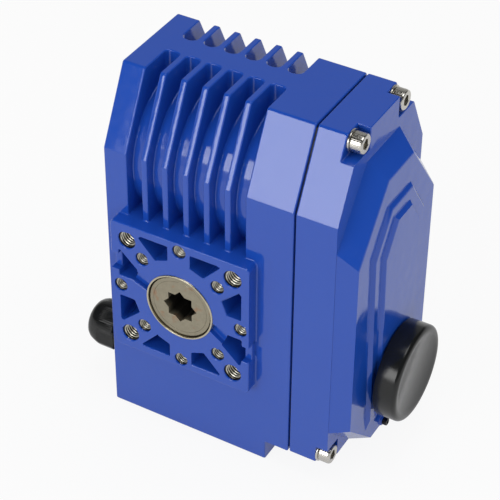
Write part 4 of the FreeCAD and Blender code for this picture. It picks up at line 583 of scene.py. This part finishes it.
def torn(face, corners):
    """Places where a face folds over itself, with all its corners if they are asked for."""
    points = [v.co.copy() for v in face.verts]
    normal = Vector()
    for a, b in zip(points, points[1:] + points[:1]):
        normal += a.cross(b) / 2
    total = 0.0
    for a, b, c in geometry.tessellate_polygon([points]):
        total += (points[b] - points[a]).cross(points[c] - points[a]).length / 2
    if total - normal.length < FOLDED_AREA:
        return []
    if len(points) <= SMALL_FACE:
        return [face.calc_center_median()] + (points if corners else [])
    turn = normal.to_track_quat("Z", "Y").inverted()
    flat = [(turn @ point).xy for point in points]
    count = len(flat)
    found = []
    for i in range(count):
        after = (i + 1) % count
        for j in range(i + 2, count - (i == 0)):
            beyond = (j + 1) % count
            if geometry.intersect_line_line_2d(flat[i], flat[after], flat[j], flat[beyond]):
                found += [points[i], points[after], points[j], points[beyond]]
    return found


def near(edge, spots, reach):
    a, b = (v.co for v in edge.verts)
    for spot in spots:
        share = min(max(geometry.intersect_point_line(spot, a, b)[1], 0.0), 1.0)
        if (a.lerp(b, share) - spot).length < reach:
            return True
    return False


def at_mouth(edge):
    """Whether an edge is the drive mouth's rim, which the seal's case covers."""
    return all(abs(math.hypot(v.co.x, v.co.z) - MOUTH_R) < MOUTH_NEAR for v in edge.verts)


def slot_corner(edge):
    """Whether an edge is an upright inner corner of a cooling slot, at the top of the housing."""
    a, b = (v.co for v in edge.verts)
    return (max(a.z, b.z) > SLOT_TOP and abs(a.x) < SLOT_REACH and edge.calc_length() > SLOT_DEEP
            and math.hypot(a.x - b.x, a.y - b.y) < UPRIGHT)


def rear_slot_corner(edge):
    """The same for the slots behind the middle web, whose ends are rounder."""
    return slot_corner(edge) and edge.verts[0].co.y > SLOT_MIDDLE


def pocket_corner(edge):
    """Whether an edge is an inner corner of a pocket in the mounting pad."""
    a, b = (v.co for v in edge.verts)
    return (min(a.y, b.y) < PAD_NEAR and max(abs(a.x), abs(a.z)) < POCKET_REACH
            and edge.calc_length() > POCKET_DEEP and math.hypot(a.x - b.x, a.z - b.z) < UPRIGHT)


HOUSING_CORNERS = [
    (rear_slot_corner, REAR_SLOT_CORNER),
    (slot_corner, SLOT_CORNER),
    (pocket_corner, POCKET_CORNER),
]


def bevel_edges(grid, edges, width, steps, **settings):
    bmesh.ops.bevel(grid, geom=edges, offset=width, offset_type="OFFSET", segments=steps,
                    profile=0.5, affect="EDGES", **settings)


def inner_corners(grid, wanted, width):
    """Rounds inner corners, as a casting has them."""
    edges = [edge for edge in grid.edges if edge.is_manifold and not edge.is_convex
             and edge.calc_face_angle(0) > CORNER_ANGLE and wanted(edge)]
    bevel_edges(grid, edges, width, CORNER_STEPS, clamp_overlap=False, loop_slide=True, material=-1)
    grid.normal_update()


def rounded(name, tree, skip, corners):
    """A node's mesh with rounded outer edges. Edges that would tear a face stay sharp."""
    width = EDGE_WIDTHS[name]
    sharp = math.radians(SHARP_ANGLE)
    spots = []
    for attempt in range(BEVEL_ROUNDS):
        grid = bmesh.new()
        grid.from_mesh(NODES[name].data)
        bmesh.ops.remove_doubles(grid, verts=grid.verts, dist=WELD)
        bmesh.ops.dissolve_limit(grid, angle_limit=math.radians(FLAT_ANGLE), verts=grid.verts,
                                 edges=grid.edges)
        grid.normal_update()
        for wanted, corner in corners:
            inner_corners(grid, wanted, corner)
        edges = [edge for edge in grid.edges
                 if edge.is_manifold and edge.calc_face_angle(0) > sharp and outside(edge, tree)
                 and not (skip and skip(edge)) and not near(edge, spots, width * TORN_REACH)]
        bevel_edges(grid, edges, width, BEVEL_STEPS, clamp_overlap=False, miter_outer="ARC",
                    loop_slide=True, material=-1)
        found = [spot for face in grid.faces for spot in torn(face, attempt >= CORNERS_FROM)]
        if not found or attempt == BEVEL_ROUNDS - 1:
            break
        spots += found
        grid.free()
    return grid


def notch_sills(grid):
    """The two edge notches of the pad are shallow: a raised sill ends each open pocket."""
    size = Vector((SILL_WIDE, SILL_FOOT - SILL_Y, SILL_LONG))
    for side in (1, -1):
        middle = Vector((side * (PAD_HALF - SILL_WIDE / 2), (SILL_Y + SILL_FOOT) / 2, -side * SILL_Z))
        place = Matrix.Translation(middle) @ Matrix.Diagonal((*size, 1.0))
        made = bmesh.ops.create_cube(grid, size=1.0, matrix=place)
        edges = {edge for vert in made["verts"] for edge in vert.link_edges
                 if all(v.co.y < middle.y for v in edge.verts)}
        bevel_edges(grid, list(edges), SILL_EDGE, BEVEL_STEPS)


def casting(name, piece, tree, skip=None, extra=None, corners=()):
    """A cast or moulded part with rounded edges, in place of its plain node."""
    grid = rounded(name, tree, skip, corners)
    if extra:
        extra(grid)
    mesh = bpy.data.meshes.new(piece)
    grid.to_mesh(mesh)
    grid.free()
    smooth_normals(add_piece(piece, mesh, SLOTS[name], "root", (name,)))


# Turned and ribbed forms

def frame_of(along):
    """A turn whose Z axis points along a direction."""
    return Vector(along).to_track_quat("Z", "Y").to_matrix().to_4x4()


def polar(radius, share, height):
    """A point at a share of a whole turn about Z."""
    angle = 2 * math.pi * share
    return (radius * math.cos(angle), radius * math.sin(angle), height)


def circle(radius, height, steps):
    return [polar(radius, i / steps, height) for i in range(steps)]


def arc(centre, radius, start, end, steps):
    """Points (radius, height) of an arc, angles in degrees."""
    return [(centre[0] + radius * math.cos(math.radians(start + (end - start) * k / steps)),
             centre[1] + radius * math.sin(math.radians(start + (end - start) * k / steps)))
            for k in range(steps + 1)]


def dip(share):
    """A smooth dip that repeats: nought at whole shares, one midway between them."""
    return 0.5 - 0.5 * math.cos(2 * math.pi * share)


def hex_reach(half, share):
    """Distance from the axis to a hexagon's side, at a share of a turn."""
    off = (2 * math.pi * share + math.pi / 6) % (math.pi / 3) - math.pi / 6
    return half / math.cos(off)


class Turned:
    """Collects closed rings into one mesh, each ring a list of points in order."""

    def __init__(self, matrix=None):
        self.grid = bmesh.new()
        self.matrix = matrix or Matrix.Identity(4)

    def point(self, at):
        return self.grid.verts.new(self.matrix @ Vector(at))

    def ring(self, points):
        return [self.point(at) for at in points]

    def skin(self, first, second):
        """Quads between two rings of the same length."""
        count = len(first)
        for i in range(count):
            j = (i + 1) % count
            self.grid.faces.new((first[i], first[j], second[j], second[i]))

    def lathe(self, profile, steps, closed=False):
        """Turns points (radius, height) about Z. Ends at radius 0 close to a point."""
        rings = [self.ring(circle(r, h, steps) if r > FINE_WELD else [(0.0, 0.0, h)])
                 for r, h in profile]
        pairs = list(zip(rings, rings[1:]))
        if closed:
            pairs.append((rings[-1], rings[0]))
        for a, b in pairs:
            self.join(a, b)

    def join(self, a, b):
        """Faces between two rings, of which one can be a single point."""
        if len(a) == 1 and len(b) == 1:
            return
        if len(a) > 1 and len(b) > 1:
            self.skin(a, b)
            return
        tip, ring = (a[0], b) if len(a) == 1 else (b[0], a)
        for i in range(len(ring)):
            self.grid.faces.new((ring[i], ring[(i + 1) % len(ring)], tip))

    def mesh(self, name):
        bmesh.ops.remove_doubles(self.grid, verts=self.grid.verts, dist=FINE_WELD)
        bmesh.ops.dissolve_degenerate(self.grid, edges=self.grid.edges, dist=FINE_WELD)
        bmesh.ops.recalc_face_normals(self.grid, faces=self.grid.faces)
        made = bpy.data.meshes.new(name)
        self.grid.to_mesh(made)
        self.grid.free()
        return made


# Screws and washers

def islands(name):
    """Lowest and highest corner of each separate solid in a node."""
    grid = bmesh.new()
    grid.from_mesh(NODES[name].data)
    bmesh.ops.remove_doubles(grid, verts=grid.verts, dist=WELD)
    left = set(grid.verts)
    boxes = []
    while left:
        queue = [left.pop()]
        low, high = queue[0].co.copy(), queue[0].co.copy()
        while queue:
            here = queue.pop()
            low = Vector(map(min, low, here.co))
            high = Vector(map(max, high, here.co))
            for edge in here.link_edges:
                other = edge.other_vert(here)
                if other in left:
                    left.discard(other)
                    queue.append(other)
        boxes.append((low, high))
    grid.free()
    return sorted(boxes, key=lambda box: tuple(round(v, 5) for v in box[0]))


def knurled(radius, height):
    """A ring of a screw's head with fine ribs along the axis."""
    return [polar(radius - KNURL_DEEP * dip(i / KNURL_POINTS), i / HEAD_STEPS, height)
            for i in range(HEAD_STEPS)]


def hexagon(flats, height):
    """A hexagon's outline with as many points as a ring of the head."""
    shares = [i / HEAD_STEPS for i in range(HEAD_STEPS)]
    return [polar(hex_reach(flats / 2, share), share, height) for share in shares]


def cap_screw(made, head_r, thread, grip):
    """A screw whose head is as high as its thread is wide. Z = 0 is the head's underside."""
    thread_r = thread / 2
    flats = thread * SCREW_FLATS
    socket_end = thread - thread * SCREW_SOCKET
    edge = head_r * HEAD_EDGE
    shapes = [
        circle(thread_r, -grip + thread_r * SCREW_TAPER, HEAD_STEPS),
        circle(thread_r, 0.0, HEAD_STEPS),
        circle(head_r - edge, 0.0, HEAD_STEPS),
        knurled(head_r, edge),
        knurled(head_r, thread * KNURL_TOP),
        *[circle(head_r * r, thread * h, HEAD_STEPS) for r, h in HEAD_CROWN],
        hexagon(flats * HEX_MOUTH, thread),
        hexagon(flats, thread - flats * HEX_LEAD_IN),
        hexagon(flats, socket_end),
    ]
    rings = [made.ring(points) for points in shapes]
    for a, b in zip(rings, rings[1:]):
        made.skin(a, b)
    made.join(rings[-1], [made.point((0, 0, socket_end - flats * HEX_DRILL))])
    made.join([made.point((0, 0, -grip))], rings[0])


def screws(node, piece, letter, slot="bright_steel"):
    """Detailed screws in the places of a node's plain ones, with their heads along an axis."""
    axis = "XYZ".index(letter)
    outward = Vector([float(i == axis) for i in range(3)])
    side = (axis + 1) % 3
    made = Turned()
    for low, high in islands(node):
        head_r = (high[side] - low[side]) / 2
        thread = head_r / SCREW_HEAD
        seat = (low + high) / 2
        seat[axis] = high[axis] - thread
        made.matrix = Matrix.Translation(seat) @ frame_of(outward)
        cap_screw(made, head_r, thread, high[axis] - low[axis] - thread)
    add_piece(piece, made.mesh(piece), slot, "root", (node,), angle=30.0)


def washers(node, piece):
    """Washers with rounded edges in the places of the plain ones."""
    made = Turned()
    for low, high in islands(node):
        middle = (low + high) / 2
        outer = (high.y - low.y) / 2
        inner = outer * WASHER_HOLE
        thick = high.x - low.x
        edge = thick * WASHER_EDGE
        made.matrix = Matrix.Translation((low.x, middle.y, middle.z)) @ frame_of((1, 0, 0))
        made.lathe([(inner, 0), (outer - edge, 0)] + arc((outer - edge, edge), edge, -90, 0, 2)[1:]
                   + arc((outer - edge, thick - edge), edge, 0, 90, 2) + [(inner, thick)],
                   WASHER_STEPS, closed=True)
    add_piece(piece, made.mesh(piece), "bright_steel", "root", (node,))


# Pad and drive

def tapped_hole(made, groove, radius, pitch, deep):
    """A thread cut in the wall of a round hole. Z runs into the hole from its mouth."""
    rows = len(THREAD_WAVE)
    crest = pitch * THREAD_DEEP
    outer = radius - THREAD_PLAY
    turns = math.ceil(deep / pitch) + 1
    columns = []
    for i in range(THREAD_STEPS):
        share = i / THREAD_STEPS
        column = []
        for k in range((turns + 1) * rows + 1):
            z = min(max((k / rows + share - 1) * pitch, 0.0), deep)
            reach = min(crest * THREAD_WAVE[k % rows], z, deep - z)
            vert = made.point(polar(outer - reach, share, z))
            # The groove value drives the painted shade in the thread's roots.
            vert[groove] = 1.0 - reach / crest
            column.append(vert)
        columns.append(column)
    for i in range(THREAD_STEPS):
        here, after = columns[i], columns[(i + 1) % THREAD_STEPS]
        shift = rows if i == THREAD_STEPS - 1 else 0
        for k in range(len(here) - 1 - shift):
            made.grid.faces.new((here[k], here[k + 1], after[k + 1 + shift], after[k + shift]))
    made.skin(made.ring(circle(outer, 0.0, THREAD_STEPS)), made.ring(circle(outer, deep, THREAD_STEPS)))


def pad_threads():
    """Bare metal threads in the pad's twelve holes."""
    made = Turned()
    groove = made.grid.verts.layers.float.new("groove")
    for circle_r, first, radius, pitch, deep in PAD_THREADS:
        for quarter in range(4):
            angle = math.radians(first + 90 * quarter)
            at = (circle_r * math.cos(angle), THREAD_START, circle_r * math.sin(angle))
            made.matrix = Matrix.Translation(at) @ frame_of((0, 1, 0))
            tapped_hole(made, groove, radius, pitch, deep - THREAD_START)
    add_piece("pad_threads", made.mesh("pad_threads"), "thread_steel", "root", angle=25.0)


def mouth_seal():
    """The drive's shaft seal: a bare metal case with a rounded rim, and a rubber lip inside it."""
    low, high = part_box("output_seal")
    outer = (high.x - low.x) / 2
    inner = outer - SEAL_CASE_WALL
    deep = high.y
    case = Turned(frame_of((0, 1, 0)))
    case.lathe([(outer, deep)] + [(outer - inset, -SEAL_PROUD * share) for inset, share in SEAL_RIM]
               + [(inner + inset, -SEAL_PROUD * share) for inset, share in SEAL_INNER_RIM]
               + [(inner, deep)], ROUND_STEPS, closed=True)
    add_piece("seal_case", case.mesh("seal_case"), "seal_steel", "root", ("output_seal",), angle=50.0)
    lip_r = SHAFT_R + LIP_PLAY
    lip = Turned(frame_of((0, 1, 0)))
    lip.lathe([(inner, deep), (inner, LIP_FOOT_Y), (inner - LIP_SLOPE, LIP_SLOPE_Y),
               (lip_r + LIP_EDGE, LIP_TIP_Y), (lip_r, LIP_BACK_Y), (lip_r, deep)], LIP_STEPS, closed=True)
    add_piece("seal_lip", lip.mesh("seal_lip"), "black_rubber", "root", angle=50.0)


# Knob and cable gland

def hand_knob():
    """Moulded knob with a rounded rim, hollow behind, and a hub for the shaft."""
    low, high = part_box("hand_knob")
    middle = (low + high) / 2
    outer = (high.y - low.y) / 2
    tall = high.x - low.x
    inside = outer - KNOB_WALL
    made = Turned(Matrix.Translation((low.x, middle.y, middle.z)) @ frame_of((1, 0, 0)))
    made.lathe([(inside, 0.0)]
               + arc((outer - KNOB_FOOT, KNOB_FOOT), KNOB_FOOT, -90, 0, 3)
               + arc((outer - KNOB_RIM, tall - KNOB_RIM), KNOB_RIM, 0, 90, 8)
               + [(outer - KNOB_LIP, tall), (outer - KNOB_DISH, tall - KNOB_DISH_DEEP),
                  (0.0, tall - KNOB_DISH_DEEP)], ROUND_STEPS)
    made.lathe([(0.0, tall - KNOB_BORE_END), (KNOB_BORE_R, tall - KNOB_BORE_END),
                (KNOB_BORE_R, KNOB_HUB_IN), (KNOB_HUB_R, KNOB_HUB_IN), (KNOB_HUB_R, tall - KNOB_WALL),
                (inside, tall - KNOB_WALL), (inside, 0.0)], ROUND_STEPS)
    add_piece("knob_moulding", made.mesh("knob_moulding"), "black_moulding", "worm", ("hand_knob",),
              angle=40.0)


def nut_outline(half, limit, height, deep):
    """A ribbed hexagon with its corners cut off at a radius."""
    points = []
    for i in range(NUT_STEPS):
        share = i / NUT_STEPS
        rib = deep * dip(i / NUT_RIB_POINTS)
        points.append(polar(min(hex_reach(half, share) - rib, limit), share, height))
    return points


def gland_nut():
    """Dome nut with ribbed flats under a smooth dome."""
    low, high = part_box("gland_dome_nut")
    middle = (low + high) / 2
    tall = high.x - low.x
    half = min(high.y - low.y, high.z - low.z) / 2
    corner = half + NUT_CORNER
    made = Turned(Matrix.Translation((high.x, middle.y, middle.z)) @ frame_of((-1, 0, 0)))
    shapes = [
        nut_outline(half, corner - NUT_CHAMFER, 0.0, 0.0),
        nut_outline(half, corner, NUT_CHAMFER_HIGH, NUT_RIB_DEEP),
        nut_outline(half, corner, tall - NUT_FLATS_END, NUT_RIB_DEEP),
        nut_outline(half, half + NUT_SHOULDER, tall - NUT_SHOULDER_DROP, NUT_RIB_DEEP / 2),
        *[nut_outline(half, half + outset, tall - drop, 0.0) for outset, drop in NUT_DOME],
        *[circle(NUT_MOUTH_R + outset, tall - drop, NUT_STEPS) for outset, drop in NUT_MOUTH],
        circle(half - NUT_WALL, tall - NUT_CONE_END, NUT_STEPS),
        circle(half - NUT_WALL, 0.0, NUT_STEPS),
    ]
    rings = [made.ring(points) for points in shapes]
    for a, b in zip(rings, rings[1:] + rings[:1]):
        made.skin(a, b)
    add_piece("gland_nut_moulding", made.mesh("gland_nut_moulding"), "black_moulding", "root",
              ("gland_dome_nut",), angle=50.0)


for node in NODES:
    dress(node)
TREE = whole_tree()
casting("main_housing", "housing_casting", TREE, at_mouth, notch_sills, HOUSING_CORNERS)
casting("cover", "cover_casting", TREE)
casting("rear_cap", "rear_cap_casting", TREE)
casting("gland_body", "gland_body_moulding", TREE)
soften("drive_insert")
soften("output_shaft")
mouth_seal()
screws("cover_screws", "cover_screws_knurled", "X")
washers("cover_screw_washers", "cover_washers_rounded")
screws("rear_cap_screws", "rear_cap_screws_knurled", "Y")
screws("indicator_window_screws", "window_screws_knurled", "Y")
screws("knob_lock_screw", "lock_screw_knurled", "X", "black_steel")
pad_threads()
hand_knob()
gland_nut()


# Stage, light and camera

def shown_rays(graph, direct=1.0, mirrored=1.0):
    """One level where the camera or glass looks, another for mirrors, nought for plain light."""
    seen = graph.add("ShaderNodeLightPath").outputs
    straight = graph.math("MAXIMUM", seen["Is Camera Ray"], seen["Is Transmission Ray"])
    return graph.math("MAXIMUM", graph.math("MULTIPLY", straight, direct),
                      graph.math("MULTIPLY", seen["Is Glossy Ray"], mirrored))


def floor_white():
    """A pale floor that looks nearly white and still takes the object's shadow."""
    made = bpy.data.materials.new("floor_white")
    made.use_nodes = True
    graph = Graph(made.node_tree)
    pale = graph.nodes["Principled BSDF"]
    pale.inputs["Base Color"].default_value = (FLOOR_PALE, FLOOR_PALE, FLOOR_PALE, 1.0)
    pale.inputs["Roughness"].default_value = FLOOR_ROUGH
    white = graph.add("ShaderNodeEmission")
    white.inputs["Strength"].default_value = 1.0
    share = shown_rays(graph, FLOOR_WHITE_SHARE, FLOOR_MIRRORED_SHARE)
    graph.mix(share, pale, white, graph.nodes["Material Output"])
    return made


def floor(level):
    mesh = bpy.data.meshes.new("floor")
    half = FLOOR_HALF
    mesh.from_pydata([(-half, -half, level), (half, -half, level), (half, half, level),
                      (-half, half, level)], [], [(0, 1, 2, 3)])
    made = bpy.data.objects.new("floor", mesh)
    bpy.context.scene.collection.objects.link(made)
    mesh.materials.append(floor_white())


def area_lamp(name, at, toward, size, power):
    lamp = bpy.data.lights.new(name, "AREA")
    lamp.shape = "RECTANGLE"
    lamp.size, lamp.size_y = size
    lamp.energy = power
    made = bpy.data.objects.new(name, lamp)
    made.location = at
    made.rotation_euler = (Vector(toward) - Vector(at)).to_track_quat("-Z", "Y").to_euler()
    bpy.context.scene.collection.objects.link(made)


def world_light():
    """Soft light, stronger from the right.

    The camera sees plain white, and mirrors see the studio."""
    world = bpy.data.worlds.new("studio")
    bpy.context.scene.world = world
    world.use_nodes = True
    graph = Graph(world.node_tree)
    way = graph.add("ShaderNodeTexCoord").outputs["Generated"]
    parts = graph.add("ShaderNodeSeparateXYZ")
    graph.links.new(way, parts.inputs[0])
    soft = graph.between(parts.outputs["X"], -1.0, 1.0, WORLD_LEFT, WORLD_RIGHT, "SMOOTHSTEP")
    low_down = graph.between(parts.outputs["Z"], *HORIZON, STUDIO_LOW, STUDIO_DARK, "SMOOTHSTEP")
    toward = graph.add("ShaderNodeVectorMath", operation="DOT_PRODUCT")
    graph.links.new(way, toward.inputs[0])
    toward.inputs[1].default_value = STUDIO_WALL
    wall = graph.between(toward.outputs["Value"], *STUDIO_WALL_EDGE, 0.0, STUDIO_WALL_LIGHT, "SMOOTHSTEP")
    mirrored = graph.math("MAXIMUM", low_down, wall)
    shown = graph.math("MAXIMUM", mirrored, shown_rays(graph, 1.0, 0.0))
    plain = graph.nodes["Background"]
    studio = graph.add("ShaderNodeBackground")
    for background, strength in ((plain, soft), (studio, shown)):
        background.inputs["Color"].default_value = (1.0, 1.0, 1.0, 1.0)
        graph.links.new(strength, background.inputs["Strength"])
    graph.mix(shown_rays(graph), plain, studio, graph.nodes["World Output"])


def camera():
    data = bpy.data.cameras.new("camera")
    data.lens = LENS
    data.sensor_width = SENSOR
    data.clip_start, data.clip_end = CLIP
    made = bpy.data.objects.new("camera", data)
    ahead, down = CAMERA_AHEAD.normalized(), CAMERA_DOWN.normalized()
    right = down.cross(ahead).normalized()
    turn = Matrix((right, -down, -ahead)).transposed()
    made.matrix_world = Matrix.Translation(CAMERA_AT) @ turn.to_4x4()
    bpy.context.scene.collection.objects.link(made)
    bpy.context.scene.camera = made


low, high = CAD_BOX
floor(low.z - FLOOR_GAP)
world_light()
for name, settings in LAMPS.items():
    area_lamp(name, **settings)
camera()

scene = bpy.context.scene
scene.view_settings.view_transform = "Standard"
